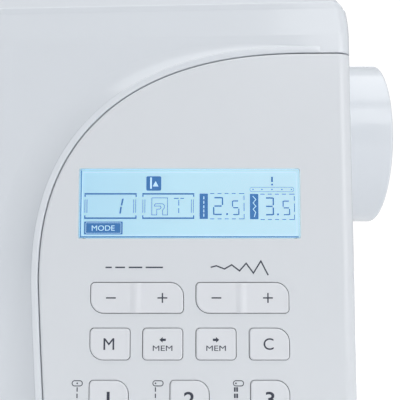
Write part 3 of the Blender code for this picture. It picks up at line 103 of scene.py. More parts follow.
def material(name, colour, roughness, metallic=0.0, ior=1.5, coat=0.0, coat_roughness=0.05,
             grain_mm=None, grain_depth_mm=0.0, tint=0.02, transmission=0.0, emission=None,
             emission_strength=0.0):
    """A Principled finish whose colour drifts slightly and whose surface carries a fine grain.

    The drift is a wide noise over the Object coordinates, and the grain is a bump of the stated
    size, both in millimetres.
    """
    made = bpy.data.materials.new(name)
    made.use_nodes = True
    tree = made.node_tree
    shader = tree.nodes["Principled BSDF"]
    shader.inputs["Metallic"].default_value = metallic
    shader.inputs["IOR"].default_value = ior
    shader.inputs["Coat Weight"].default_value = coat
    shader.inputs["Coat Roughness"].default_value = coat_roughness
    shader.inputs["Transmission Weight"].default_value = transmission
    base = linear(colour)
    place = node(tree, "ShaderNodeTexCoord")
    drift = node(tree, "ShaderNodeTexNoise", [("Vector", place.outputs["Object"])], detail=2.0)
    drift.inputs["Scale"].default_value = 1 / (45 * MM)
    shade = node(tree, "ShaderNodeMix", [("Factor", drift.outputs["Fac"])], data_type="RGBA")
    shade.inputs[6].default_value = tuple(c * (1 - tint) for c in base[:3]) + (1,)
    shade.inputs[7].default_value = tuple(min(c * (1 + tint), 1) for c in base[:3]) + (1,)
    tree.links.new(shade.outputs[2], shader.inputs["Base Color"])
    gloss = node(tree, "ShaderNodeMapRange", [("Value", drift.outputs["Fac"])])
    gloss.inputs["To Min"].default_value = roughness * 0.92
    gloss.inputs["To Max"].default_value = roughness * 1.08
    tree.links.new(gloss.outputs["Result"], shader.inputs["Roughness"])
    if grain_mm:
        grain = node(tree, "ShaderNodeTexNoise", [("Vector", place.outputs["Object"])], detail=3.0)
        grain.inputs["Scale"].default_value = 1 / (grain_mm * MM)
        bump = node(tree, "ShaderNodeBump", [("Height", grain.outputs["Fac"])])
        bump.inputs["Strength"].default_value = 1.0
        bump.inputs["Distance"].default_value = grain_depth_mm * MM
        tree.links.new(bump.outputs["Normal"], shader.inputs["Normal"])
    if emission:
        shader.inputs["Emission Color"].default_value = linear(emission)
        shader.inputs["Emission Strength"].default_value = emission_strength
    return made


# Gloss ABS, moulded in a polished tool: a clear reflection over a very faint orange peel.
WHITE_ABS = material("gloss_abs_white", "#E9EDF2", 0.16, ior=1.53, coat=0.3, coat_roughness=0.06,
                     grain_mm=9, grain_depth_mm=0.02, tint=0.006)
# The same ABS in a finer satin tool, for the control panel.
PANEL_ABS = material("satin_abs_panel", "#E8EBEF", 0.24, ior=1.53, grain_mm=7, grain_depth_mm=0.015,
                     tint=0.006)
# Key caps: ABS with a spark-eroded satin face.
KEY_ABS = material("satin_abs_key", "#ECEEF2", 0.30, ior=1.53, grain_mm=0.35, grain_depth_mm=0.004,
                   tint=0.008)
# Control knobs: grey satin ABS.
GREY_ABS = material("satin_abs_grey", "#C3C8CF", 0.32, ior=1.53, grain_mm=0.5, grain_depth_mm=0.006)
# Pad-printed legends: flat dark ink.
INK = material("pad_print_ink", "#3A3F4E", 0.5, ior=1.5, tint=0.03)
# Clear cast acrylic over the screen.
ACRYLIC = material("cast_acrylic_clear", "#F4FAFF", 0.03, ior=1.49, transmission=1.0, tint=0.0)


def graded(name, axis, stops, roughness, glow=0.0):
    """A finish whose colour changes along an axis of the Object coordinates, at stops of (place, colour).

    Without a glow the change is in the base colour, and with one it is in the light given off.
    """
    made = material(name, stops[0][1], roughness, tint=0.02)
    tree = made.node_tree
    shader = tree.nodes["Principled BSDF"]
    place = node(tree, "ShaderNodeTexCoord")
    split = node(tree, "ShaderNodeSeparateXYZ", [("Vector", place.outputs["Object"])])
    along = node(tree, "ShaderNodeMapRange", [("Value", split.outputs[axis])])
    first, last = stops[0][0], stops[-1][0]
    along.inputs["From Min"].default_value = first
    along.inputs["From Max"].default_value = last
    ramp = node(tree, "ShaderNodeValToRGB", [("Fac", along.outputs["Result"])])
    ramp.color_ramp.elements[0].color = linear(stops[0][1])
    ramp.color_ramp.elements[1].color = linear(stops[-1][1])
    for at, colour in stops[1:-1]:
        ramp.color_ramp.elements.new((at - first) / (last - first)).color = linear(colour)
    target = "Emission Color" if glow else "Base Color"
    tree.links.new(ramp.outputs["Color"], shader.inputs[target])
    shader.inputs["Emission Strength"].default_value = glow
    return made


# The gap round the panel: painted shade, dark above, and paler lower down, painted as stray light getting in.
PANEL_GAP_SHADE = graded("panel_gap_painted_shade", "Z", ((156 * MM, "#B4B0AC"), (192 * MM, "#3D4450")), 0.8)
# A liquid crystal cell lit from one end.
LCD = graded("backlit_lcd", "X", ((SCREEN_LOW[0], "#B4D8E6"),
                                  (0.55 * SCREEN_LOW[0] + 0.45 * SCREEN_HIGH[0], "#C7E5EB"),
                                  (SCREEN_HIGH[0], "#CFE6EB")), 0.35, 0.66)
# Blue segments; the same ink also paints shade along the screen's left and bottom edges.
LCD_INK_AND_PAINTED_SHADE = material("lcd_segment_blue_and_painted_shade", "#3C7FC0", 0.4, emission="#3E86C6", emission_strength=0.35)
# Light marks on the blue fields; the same glowing finish also paints a highlight line round the screen.
LCD_LIGHT_AND_PAINTED_HIGHLIGHT = material("lcd_clear_field_and_painted_highlight", "#CDEAF8", 0.4, emission="#CDEAF8", emission_strength=0.7)
# Fibreglass board with green solder mask.
BOARD = material("solder_mask_green", "#1F5A3C", 0.35, grain_mm=1.2, grain_depth_mm=0.01, tint=0.08)
# Black nylon and rubber.
NYLON = material("moulded_nylon_black", "#16171A", 0.42, grain_mm=0.6, grain_depth_mm=0.01, tint=0.1)
RUBBER = material("moulded_rubber_black", "#1B1B1D", 0.75, grain_mm=0.5, grain_depth_mm=0.02, tint=0.1)
# Metals: ground and plated steel, blackened steel, die-cast aluminium.
BRIGHT = material("nickel_plated_steel", "#C9C9CB", 0.18, 1.0, tint=0.03, grain_mm=0.8, grain_depth_mm=0.002)
DARK = material("blackened_steel", "#5A5B60", 0.34, 1.0, tint=0.06, grain_mm=0.8, grain_depth_mm=0.006)
CAST = material("die_cast_aluminium", "#A9ABAF", 0.46, 1.0, tint=0.05, grain_mm=1.1, grain_depth_mm=0.03)


# ---- Surface tools -----------------------------------------------------------------------------

STEPS = 10


def outline(corners, inset=0.0, steps=STEPS):
    """A closed outline of straight sides and corner arcs, drawn in by an inset.

    Each corner is (u, v, radius), anticlockwise. Every side moves inwards by the inset, the corner
    is where the moved sides meet, and its arc's radius shrinks by the inset, or grows where the
    corner is hollow. The count of points never changes, so outlines can be skinned together.
    """
    corner = np.array([c[:2] for c in corners], float)
    radius = np.array([c[2] for c in corners], float)
    side = np.roll(corner, -1, 0) - corner
    side /= np.linalg.norm(side, axis=1)[:, None]
    before = np.roll(side, 1, 0)
    cross = before[:, 0] * side[:, 1] - before[:, 1] * side[:, 0]
    dot = (before * side).sum(1)
    hollow = np.sign(cross)
    normal_before = np.stack([-before[:, 1], before[:, 0]], 1)
    normal_side = np.stack([-side[:, 1], side[:, 0]], 1)
    mitre = (normal_before + normal_side) / (1 + dot)[:, None]
    moved = corner + mitre * inset
    radius = np.maximum(radius - hollow * inset, 0.02 * MM)
    half = np.arctan2(np.abs(cross), 1 + dot)
    centre = moved + mitre * (hollow * radius)[:, None]
    arm = -normal_before * (hollow * radius)[:, None]
    angle = (2 * half * hollow)[:, None] * np.linspace(0, 1, steps + 1)[None]
    cos, sin = np.cos(angle), np.sin(angle)
    u = centre[:, :1] + arm[:, :1] * cos - arm[:, 1:] * sin
    v = centre[:, 1:] + arm[:, :1] * sin + arm[:, 1:] * cos
    return np.stack([u.ravel(), v.ravel()], 1)


def lay(points, height, axis):
    """Flat points stood at a height along an axis: in the plane across X, Y or Z."""
    u, v = points.T
    h = np.full(len(points), height) if np.isscalar(height) else height
    return np.stack({"X": [h, u, v], "Y": [u, h, v], "Z": [u, v, h]}[axis], 1)


def skin(rings, closed=True, caps=True):
    """Quads between neighbouring rings of equal length, and flat caps on the first and last ring."""
    rings = np.asarray(rings)
    count, length = rings.shape[:2]
    index = np.arange(count * length).reshape(count, length)
    far = np.roll(index, -1, 1) if closed else index[:, 1:]
    near = index if closed else index[:, :-1]
    quads = np.stack([near[:-1], far[:-1], far[1:], near[1:]], -1).reshape(-1, 4).tolist()
    if caps:
        quads += [index[0][::-1].tolist(), index[-1].tolist()]
    return rings.reshape(-1, 3), quads


def piece(name, points, faces, finish, smooth=35, weighted=True):
    """A new object from points and faces, its normals turned outwards and its soft edges smooth."""
    mesh = bpy.data.meshes.new(name)
    mesh.from_pydata(np.asarray(points).tolist(), [], faces)
    made = bpy.data.objects.new(name, mesh)
    bpy.context.scene.collection.objects.link(made)
    tidy(made, smooth)
    made.data.materials.append(finish)
    if weighted:
        flat = made.modifiers.new("flat_faces_stay_flat", "WEIGHTED_NORMAL")
        flat.keep_sharp = True
    return made


def tidy(obj, smooth=35, merge=0.002):
    """Merges doubled points, turns every face outwards and shades soft edges smooth."""
    work = bmesh.new()
    work.from_mesh(obj.data)
    bmesh.ops.remove_doubles(work, verts=work.verts, dist=merge * MM)
    bmesh.ops.recalc_face_normals(work, faces=work.faces)
    work.to_mesh(obj.data)
    work.free()
    obj.data.shade_smooth()
    obj.data.set_sharp_from_angle(angle=math.radians(smooth))


def fit(obj, body, *replaced):
    """Makes the piece ride on a body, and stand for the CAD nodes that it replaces."""
    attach(obj, body)
    if replaced:
        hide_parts(*replaced)
    return obj


def fillet(width, low, high, steps=5):
    """(inset, height) stations of a quarter round from the wall at low to the face at high."""
    turn = np.linspace(0, math.pi / 2, steps + 1)
    toward = np.sign(high - low)
    start = high - toward * width
    return [(width * (1 - math.cos(t)), start + toward * width * math.sin(t)) for t in turn]


def block(name, corners, low, high, axis, finish, low_edge=0.5 * MM, high_edge=0.5 * MM, steps=STEPS,
          edge_steps=5):
    """A flat outline carried along an axis, drawn in by a quarter round at each end."""
    stations = fillet(low_edge, high, low, edge_steps)[::-1] + fillet(high_edge, low, high, edge_steps)
    rings = [lay(outline(corners, inset, steps), height, axis) for inset, height in stations]
    return piece(name, *skin(rings), finish)


def rectangle(u0, u1, v0, v1, radius):
    """The corners of a rectangle, each with its radius."""
    return [(u0, v0, radius), (u1, v0, radius), (u1, v1, radius), (u0, v1, radius)]


def around(name, axes, room, radius):
    """A node's rectangle across two axes, grown by some room on every side."""
    low, high = node_box(name)
    a, b = axes
    return rectangle(low[a] - room, high[a] + room, low[b] - room, high[b] + room, radius)


def turned(name, profile, axis, centre, finish, steps=96, smooth=30):
    """A profile of (radius, height) points turned round an axis through a centre.

    Each point becomes a ring at its radius; a radius of zero closes a pole by merging.
    """
    angle = np.linspace(0, 2 * math.pi, steps, endpoint=False)
    rings = []
    for radius, height in profile:
        circle = np.stack([radius * np.cos(angle), radius * np.sin(angle)], 1)
        rings.append(lay(circle, height, axis))
    points, faces = skin(rings, caps=False)
    return piece(name, points + np.asarray(centre), faces, finish, smooth)


def boolean(obj, cutters, operation="DIFFERENCE", smooth=35):
    """Cuts or joins closed shapes at once, then drops them."""
    for cutter in cutters:
        change = obj.modifiers.new("cut", "BOOLEAN")
        change.operation = operation
        change.object = cutter
        obj.modifiers.move(len(obj.modifiers) - 1, 0)
        bpy.context.view_layer.update()
        others = [m for m in obj.modifiers if m != change]
        for m in others:
            m.show_viewport = False
        bpy.context.view_layer.update()
        graph = bpy.context.evaluated_depsgraph_get()
        mesh = bpy.data.meshes.new_from_object(obj.evaluated_get(graph))
        for m in others:
            m.show_viewport = True
        obj.modifiers.remove(change)
        old, obj.data = obj.data, mesh
        bpy.data.meshes.remove(old)
        bpy.data.objects.remove(cutter)
    tidy(obj, smooth)
    return obj


def reshape(obj, planes, move):
    """Slices the mesh on planes (point, normal), then moves every point by a function of all points."""
    work = bmesh.new()
    work.from_mesh(obj.data)
    for point, normal in planes:
        bmesh.ops.bisect_plane(work, geom=[*work.verts, *work.edges, *work.faces], plane_co=point,
                               plane_no=normal, dist=1e-7)
    work.to_mesh(obj.data)
    work.free()
    points = np.empty(len(obj.data.vertices) * 3)
    obj.data.vertices.foreach_get("co", points)
    obj.data.vertices.foreach_set("co", move(points.reshape(-1, 3)).ravel())
    obj.data.update()
    tidy(obj)
    return obj


# ---- Camera, light and floor -------------------------------------------------------------------

PANEL_DISTANCE = 192.3 * MM
CAMERA_AT = (145.4 * MM, FRONT_Y - PANEL_DISTANCE, 182.3 * MM)
CAMERA_PITCH = 5.14
FOCAL_MM = 54.0


def set_camera():
    """The camera of the main view, from the values stated above."""
    data = bpy.data.cameras.new("camera")
    data.lens = FOCAL_MM
    data.sensor_width = 36.0
    data.clip_start = 0.01
    camera = bpy.data.objects.new("camera", data)
    camera.location = CAMERA_AT
    camera.rotation_euler = (math.radians(90 + CAMERA_PITCH), 0, 0)
    bpy.context.scene.collection.objects.link(camera)
    bpy.context.scene.camera = camera


BRIGHT_WAY = (0.45, -0.35, 0.82)


def set_world():
    """White to the eye, and a softly graded studio to every surface that mirrors it."""
    world = bpy.data.worlds.new("studio")
    world.use_nodes = True
    tree = world.node_tree
    tree.nodes.clear()
    out = tree.nodes.new("ShaderNodeOutputWorld")
    place = tree.nodes.new("ShaderNodeTexCoord")
    ramp = tree.nodes.new("ShaderNodeValToRGB")
    toward = node(tree, "ShaderNodeVectorMath", [(0, place.outputs["Generated"])], operation="DOT_PRODUCT")
    toward.inputs[1].default_value = BRIGHT_WAY
    height = node(tree, "ShaderNodeMapRange", [("Value", toward.outputs["Value"])])
    height.inputs["From Min"].default_value = -1.0
    tree.links.new(height.outputs["Result"], ramp.inputs["Fac"])
    stops = ((0.0, "#727B88"), (0.4, "#9FA8B2"), (0.6, "#CFD4DA"), (1.0, "#F4F6F8"))
    ramp.color_ramp.elements[0].color = linear(stops[0][1])
    ramp.color_ramp.elements[1].color = linear(stops[-1][1])
    for position, colour in stops[1:-1]:
        ramp.color_ramp.elements.new(position).color = linear(colour)
    seen = node(tree, "ShaderNodeBackground")
    seen.inputs["Color"].default_value = (1, 1, 1, 1)
    seen.inputs["Strength"].default_value = 1.05
    lit = node(tree, "ShaderNodeBackground", [("Color", ramp.outputs["Color"])])
    lit.inputs["Strength"].default_value = 0.54
    ray = tree.nodes.new("ShaderNodeLightPath")
    mix = node(tree, "ShaderNodeMixShader", [(0, ray.outputs["Is Camera Ray"]), (1, lit.outputs[0]),
                                              (2, seen.outputs[0])])
    tree.links.new(mix.outputs[0], out.inputs["Surface"])
    bpy.context.scene.world = world


def softbox(name, at, target, size, power):
    """A rectangular area light, aimed at a target and unseen by the camera."""
    data = bpy.data.lights.new(name, "AREA")
    data.shape = "RECTANGLE"
    data.size, data.size_y = size
    data.energy = power
    lamp = bpy.data.objects.new(name, data)
    lamp.location = at
    lamp.rotation_euler = (Vector(target) - Vector(at)).to_track_quat("-Z", "Y").to_euler()
    bpy.context.scene.collection.objects.link(lamp)
    lamp.visible_camera = False


def set_lights():
    """Five softboxes round the machine."""
    middle = (0.1, -0.05, 0.18)
    softbox("top_softbox", (0.1, -0.25, 1.5), middle, (1.6, 1.2), 7.5)
    softbox("right_softbox", (1.2, -1.1, 0.4), middle, (0.7, 0.9), 3.6)
    softbox("left_softbox", (-1.5, -0.9, 0.7), middle, (0.9, 1.3), 0.5)
    softbox("front_softbox", (0.7, -1.5, 1.1), middle, (0.9, 0.7), 3.0)
    softbox("back_softbox", (0.0, 1.6, 0.9), middle, (1.8, 1.0), 4.5)


FLOOR_GLOW, FLOOR_WHITE = 0.15, 0.75


def set_floor():
    """A white sweep that glows enough to stay white, and takes the contact shadow."""
    size = 6.0
    points = np.array([(-size, -size, 0), (size, -size, 0), (size, size, 0), (-size, size, 0)], float)
    white = bpy.data.materials.new("studio_paper_white")
    white.use_nodes = True
    shader = white.node_tree.nodes["Principled BSDF"]
    shader.inputs["Base Color"].default_value = linear("#F2F2F2")
    shader.inputs["Roughness"].default_value = 0.9
    shader.inputs["Emission Color"].default_value = (1, 1, 1, 1)
    ray = node(white.node_tree, "ShaderNodeLightPath")
    glow = node(white.node_tree, "ShaderNodeMapRange", [("Value", ray.outputs["Is Camera Ray"])])
    glow.inputs["To Min"].default_value = FLOOR_GLOW
    glow.inputs["To Max"].default_value = FLOOR_WHITE
    white.node_tree.links.new(glow.outputs["Result"], shader.inputs["Emission Strength"])
    floor = piece("floor", points, [[0, 1, 2, 3]], white, weighted=False)


set_camera()
set_world()
set_lights()
set_floor()
bpy.context.scene.view_settings.view_transform = "Standard"


# ---- Casings -----------------------------------------------------------------------------------

WALL = 2.5 * MM
PILLAR_X = SIDE_X - 153.6 * MM
HEAD_X = COVER_LOW[0]
HEAD_RIGHT = HEAD_X + 73.5 * MM
FOOT_Z = COVER_LOW[2]
HEAD_Z, ARM_Z = 150 * MM, 206 * MM
CORNER = 5.0 * MM
TILT_Z = 254.6 * MM
TILT = math.tan(math.radians(7))
FLANK_ROLL = 9 * MM


def body_corners(top, throat_corner=20 * MM):
    """Head, arm and pillar seen from the front, anticlockwise."""
    return [
        (PILLAR_X, FOOT_Z, 3 * MM), (SIDE_X, FOOT_Z, 2 * MM), (SIDE_X, top, 1 * MM), (HEAD_X, top, 5 * MM),
        (HEAD_X, HEAD_Z, 12 * MM), (HEAD_RIGHT, HEAD_Z, 12 * MM), (HEAD_RIGHT, ARM_Z, 14 * MM),
        (PILLAR_X, ARM_Z, throat_corner),
    ]


def front_y(x):
    """How deep the leaning front lies at a place across the machine."""
    return FRONT_Y + LEAN * (SIDE_X - x)


def lean_back(points, fixed_y=PARTING_Y):
    """Leans the front back towards the needle end, tilts its top band, and rolls the pillar's flank.

    Each push backwards fades out in a straight line to nothing at the fixed plane.
    """
    moved = points.copy()
    x, y, z = points.T
    share = np.clip((fixed_y - y) / (fixed_y - FRONT_Y), 0, 1)
    push = LEAN * (SIDE_X - x)
    push += TILT * np.clip(z - TILT_Z, 0, None)
    flank = np.clip((PILLAR_X + 42 * MM - x) / (42 * MM), 0, 1) * (x > PILLAR_X - 1 * MM)
    low = np.clip((ARM_Z + 4 * MM - z) / (50 * MM), 0, 1)
    push += FLANK_ROLL * flank ** 2 * low ** 2 * (3 - 2 * low)
    moved[:, 1] += share * push
    return moved


def lean_planes():
    """Slices where the leaning front bends."""
    planes = [((0, 0, TILT_Z), (0, 0, 1))]
    planes += [((PILLAR_X + step * MM, 0, 0), (1, 0, 0)) for step in range(4, 44, 4)]
    planes += [((0, 0, ARM_Z + 4 * MM - step * MM), (0, 0, 1)) for step in range(0, 56, 6)]
    return planes


def shell(name, corners, open_y, closed_y, finish, edge=CORNER):
    """Half of the body: outer skin, cavity and rim in one loft from inside to outside."""
    inward = math.copysign(1, open_y - closed_y)
    inside = [(WALL + i, h) for i, h in fillet(edge - WALL, open_y, closed_y + inward * WALL)]
    outside = fillet(edge, open_y, closed_y)
    stations = inside[::-1] + [(WALL, open_y), (0.3 * MM, open_y), (0, open_y - inward * 0.3 * MM)] + outside
    rings = [lay(outline(corners, inset), height, "Y") for inset, height in stations]
    return piece(name, *skin(rings), finish)


def cutter_block(corners, low, high, axis, steps=6):
    """A plain cutter: a flat outline carried straight along an axis."""
    rings = [lay(outline(corners, 0, steps), height, axis) for height in (low, high)]
    return piece("cutter", *skin(rings), WHITE_ABS, weighted=False)


def round_cutter(radius, low, high, axis, centre):
    """A cylinder to cut a bore with."""
    profile = [(0, low), (radius, low), (radius, high), (0, high)]
    return turned("cutter", profile, axis, centre, WHITE_ABS, steps=48)


SEAM_GAP = 0.34 * MM
PANEL_CENTRE = (184.4 * MM, 174.0 * MM)
PANEL_REACH = (90.5 * MM, 74.2 * MM)
PANEL_BOTTOM = (100.5 * MM, PANEL_LOW[2])
PANEL_POWER = 2.43


def panel_edge(grow=0.0, steps=72):
    """The seam from the right side over the top and down the left: a superellipse, then a straight lean.

    Points follow (cos, sin) raised to 2 / power, and each is moved out along its own normal by one
    amount, or by its own.
    """
    angle = np.linspace(math.pi / 2, math.pi, steps)
    power = 2 / PANEL_POWER
    u = PANEL_CENTRE[0] - PANEL_REACH[0] * np.abs(np.cos(angle)) ** power
    v = PANEL_CENTRE[1] + PANEL_REACH[1] * np.sin(angle) ** power
    u[0], v[-1] = PANEL_CENTRE[0], PANEL_CENTRE[1]
    down = np.linspace(0, 1, 14)[1:, None]
    lean = np.array([[u[-1], v[-1]]]) * (1 - down) + np.array([PANEL_BOTTOM]) * down
    bow = (1 - down[:, 0]) * down[:, 0] * 2.2 * MM
    lean[:, 0] -= bow
    right = np.array([[SIDE_X, v[0]]])
    line = np.vstack([right, np.stack([u, v], 1), lean])
    along = np.gradient(line, axis=0)
    along /= np.linalg.norm(along, axis=1)[:, None]
    normal = np.stack([along[:, 1], -along[:, 0]], 1)
    return line + normal * np.asarray(grow)[..., None]


def panel_loop(inset):
    """The whole panel outline at an inset: the seam line closed along the bottom and the right side."""
    line = panel_edge(-inset)
    line[0, 0] = SIDE_X - inset
    line[-1, 1] = PANEL_LOW[2] + inset
    corner = [[SIDE_X - inset, PANEL_LOW[2] + inset]]
    return np.vstack([line, corner])


SHELL_TOP = DECK_Z + CORNER + 1 * MM
TUCK_Z, TUCK = 256 * MM, 1.9 * MM
NEEDLE_X = (node_box("needle")[0][0] + node_box("needle")[1][0]) / 2
SPEED_SLOT_X = (-75 * MM, -35 * MM)
THREAD_SLOT_Z = (194 * MM, 248 * MM)
SWITCH_ROOM, INLET_ROOM = 0.6 * MM, 0.3 * MM
LIFTER_Z, HANDLE_AXIS_Z = 176 * MM, 236 * MM
INSIDE_Y = (FRONT_Y - 10 * MM, -50 * MM)


def tuck(points):
    """Draws the right-hand side in towards the top, by the square of the height over TUCK_Z."""
    moved = points.copy()
    rise = np.clip((points[:, 2] - TUCK_Z) / (13 * MM), 0, 1.25)
    share = np.clip((points[:, 0] - SIDE_X + 20 * MM) / (20 * MM), 0, 1)
    moved[:, 0] -= TUCK * rise ** 2 * share
    return moved


def tuck_planes(low=TUCK_Z, high=DECK_Z + 10 * MM):
    """Planes that give the tucked top of the body enough points to bend."""
    planes = [((0, 0, z), (0, 0, 1)) for z in np.linspace(low, high, 9)]
    return planes + [((SIDE_X - 20 * MM, 0, 0), (1, 0, 0))]


def node_middle(name, axes=(0, 1, 2)):
    """The middle of a CAD node along the given axes."""
    low, high = node_box(name)
    return [(low[i] + high[i]) / 2 for i in axes]


def node_bore(name, axis, low, high, room=0.3 * MM):
    """A round cutter a little wider than a round node, on the node's own axis."""
    first, last = node_box(name)
    centre = (first + last) / 2
    across = [i for i in range(3) if i != "XYZ".index(axis)]
    radius = (last[across[0]] - first[across[0]]) / 2 + room
    centre["XYZ".index(axis)] = 0
    return round_cutter(radius, low, high, axis, centre)


def body_half(name, open_y, closed_y):
    """One half of the body shell, open at the parting plane and cut off at the deck."""
    half = shell(name, body_corners(SHELL_TOP), open_y, closed_y, WHITE_ABS)
    cut_off = cutter_block(rectangle(-1, 1, -1, 1, 10 * MM), DECK_Z, DECK_Z + 30 * MM, "Z")
    return boolean(half, [cut_off])


def make_front():
    """The front half of the body, with the panel's seat and every opening for a control."""
    front = body_half("front_shell", PARTING_Y, FRONT_Y)
    reshape(front, lean_planes(), lean_back)
    reshape(front, tuck_planes(), tuck)
    seat_rings = [lay(panel_loop(-SEAM_GAP), y, "Y") for y in (FRONT_Y - 8 * MM, PANEL_HIGH[1] + 0.3 * MM)]
    dial = node_middle("tension_dial", (0, 2))
    slider_z = node_middle("speed_slider", (2,))[0]
    side = (SIDE_X - 10 * MM, SIDE_X + 10 * MM)
    needle_hole = rectangle(NEEDLE_X - 10 * MM, NEEDLE_X + 10 * MM, SHAFT_Y - 10 * MM,
                            PARTING_Y + 5 * MM, 2 * MM)
    speed_slot = rectangle(*SPEED_SLOT_X, slider_z - 2 * MM, slider_z + 2 * MM, 1.9 * MM)
    cutters = [piece("seat_cutter", *skin(seat_rings), WHITE_ABS, weighted=False),
               cutter_block(needle_hole, HEAD_Z - 6 * MM, HEAD_Z + 6 * MM, "Z"),
               round_cutter(4.2 * MM, *INSIDE_Y, "Y", (dial[0], 0, dial[1])),
               round_cutter(6.2 * MM, *side, "X", (0, SHAFT_Y, SHAFT_Z)),
               cutter_block(speed_slot, *INSIDE_Y, "Y"),
               cutter_block(around("power_switch", (1, 2), SWITCH_ROOM, 1 * MM), *side, "X"),
               cutter_block(around("power_inlet", (1, 2), INLET_ROOM, 2 * MM), *side, "X")]
    cutters += [cutter_block(rectangle(x - 2 * MM, x + 2 * MM, *THREAD_SLOT_Z, 1.9 * MM), *INSIDE_Y, "Y")
                for x in (TAKE_UP_X, THREAD_SLOT_X)]
    cutters += [node_bore(button, "Y", *INSIDE_Y) for button in BUTTONS]
    boolean(front, cutters)
    return fit(front, "root", "front_cover")


def make_rear():
    """The back half of the body, the fence behind the lid and the two ears that hold the handle."""
    rear = body_half("rear_shell", PARTING_Y + 0.3 * MM, REAR_Y)
    reshape(rear, tuck_planes(), tuck)
    boolean(rear, [round_cutter(4.3 * MM, REAR_Y - 10 * MM, REAR_Y + 10 * MM, "Y",
                                (node_middle("lifter_lever")[0], 0, LIFTER_Z))])
    fit(rear, "root", "rear_cover")
    fence = rectangle(HEAD_X + 7.5 * MM, SIDE_X - 7.5 * MM, REAR_Y - 2.3 * MM, REAR_Y - 0.3 * MM, 0.4 * MM)
    fit(block("lid_fence", fence, DECK_Z - 12 * MM, REAR_HIGH[2], "Z", WHITE_ABS, high_edge=0.6 * MM), "root")
    foot, top = HANDLE_AXIS_Z - 14 * MM, HANDLE_AXIS_Z + 14 * MM
    ear = [(REAR_Y - 1 * MM, foot, 0.2 * MM), (REAR_HIGH[1], foot, 12 * MM),
           (REAR_HIGH[1], top, 12 * MM), (REAR_Y - 1 * MM, top, 0.2 * MM)]
    for side, x in (("left", HANDLE_LOW[0] - 3.3 * MM), ("right", HANDLE_HIGH[0] - 5.7 * MM)):
        fit(block(side + "_ear", ear, x, x + 9 * MM, "X", WHITE_ABS, 1.2 * MM, 1.2 * MM), "root")


def make_deck():
    """The floor under the lid, with the winder's hole."""
    edge = 2 * MM
    left, right = HEAD_X + edge, SIDE_X - edge
    plan = [(left, front_y(left) + 4 * MM, 3 * MM), (right, FRONT_Y + 5 * MM, 3 * MM),
            (right, REAR_Y - edge, 3 * MM), (left, REAR_Y - edge, 3 * MM)]
    deck = block("deck", plan, DECK_Z - 2.5 * MM, DECK_Z - 0.3 * MM, "Z", WHITE_ABS, 0.2 * MM, 0.2 * MM)
    winder = node_middle("winder_spindle", (0, 1))
    boolean(deck, [round_cutter(3.6 * MM, DECK_Z - 10 * MM, DECK_Z + 10 * MM, "Z", (*winder, 0))])
    return fit(deck, "root")


BUTTONS = ("start_stop_button", "reverse_button", "needle_position_button")
HANDLE_LOW, HANDLE_HIGH = node_box("carry_handle")
TAKE_UP_X, THREAD_SLOT_X = NEEDLE_X - 13 * MM, NEEDLE_X + 7 * MM

make_front()
make_rear()
make_deck()

# ---- Control panel -----------------------------------------------------------------------------

PANEL_EDGE = 0.9 * MM
LIP_WIDTH = 2.3 * MM
LIP_RADIUS = 0.55 * MM
STEP_RATIO, STEP_POWER = 3.4, 2.2
FRONT_LIFT = 0.04 * MM
LIP_BACK = 0.25 * MM
BURIED = 7.0 * MM


def corner_roll(points):
    """Rolls the panel's right-hand margin back round the body's upright corner."""
    moved = points.copy()
    over = np.clip(points[:, 0] - (SIDE_X - CORNER), 0, CORNER)
    share = np.clip((PANEL_HIGH[1] - points[:, 1]) / (PANEL_HIGH[1] - FRONT_Y), 0, 1)
    moved[:, 1] += share * (CORNER - np.sqrt(CORNER ** 2 - over ** 2)) * 0.98
    return moved


def key_corners(node_name):
    """A key's outline from its CAD box: two large opposite corners on a rocker, one on the others."""
    low, high = node_box(node_name)
    small, large = 1.2 * MM, 4.2 * MM
    soft = {"key_stitch_length": (0, 2), "key_stitch_width": (0, 2), "key_mode": (0,), "key_clear": (2,),
            "key_memory_back": (), "key_memory_next": ()}.get(node_name, (2,))
    radii = [large if i in soft else small for i in range(4)]
    ends = [(low[0], low[2]), (high[0], low[2]), (high[0], high[2]), (low[0], high[2])]
    return [(u, v, r) for (u, v), r in zip(ends, radii)]


ROCKERS = ("key_stitch_length", "key_stitch_width")
FUNCTION_KEYS = ("key_mode", "key_memory_back", "key_memory_next", "key_clear")
DIRECT_KEYS = tuple(f"key_{number}" for number in range(1, 10))
KEYS = ROCKERS + FUNCTION_KEYS + DIRECT_KEYS
KEY_GAP = 0.22 * MM


def make_panel():
    """The raised control panel, with its rolled edge and an opening for each key and the screen."""
    stations = fillet(0.3 * MM, FRONT_Y, PANEL_HIGH[1], 2)[::-1] + fillet(PANEL_EDGE, PANEL_HIGH[1], FRONT_Y)
    rings = [lay(panel_loop(inset), y, "Y") for inset, y in stations]
    panel = piece("panel_face", *skin(rings), PANEL_ABS)
    slices = [((SIDE_X - CORNER * s, 0, 0), (1, 0, 0)) for s in (1.0, 0.85, 0.7, 0.55, 0.4, 0.28, 0.18, 0.1)]
    reshape(panel, slices, corner_roll)
    near, far = FRONT_Y - 5 * MM, PANEL_HIGH[1] + 1 * MM
    cutters = []
    cutters.append(cutter_block(around("lcd_window", (0, 2), 0.3 * MM, 0.5 * MM), near, far, "Y"))
    for key in KEYS:
        grown = outline(key_corners(key), -KEY_GAP, 8)
        cutters.append(piece("cutter", *skin([lay(grown, y, "Y") for y in (near, far)]), WHITE_ABS,
                             weighted=False))
    boolean(panel, cutters)
    return fit(panel, "root", "control_panel")


def along_edge(reach, y):
    """The seam line moved out by a reach, and stood at a depth or at one depth for each point."""
    edge = panel_edge(reach)
    return np.stack([edge[:, 0], np.broadcast_to(y, len(edge)), edge[:, 1]], 1)


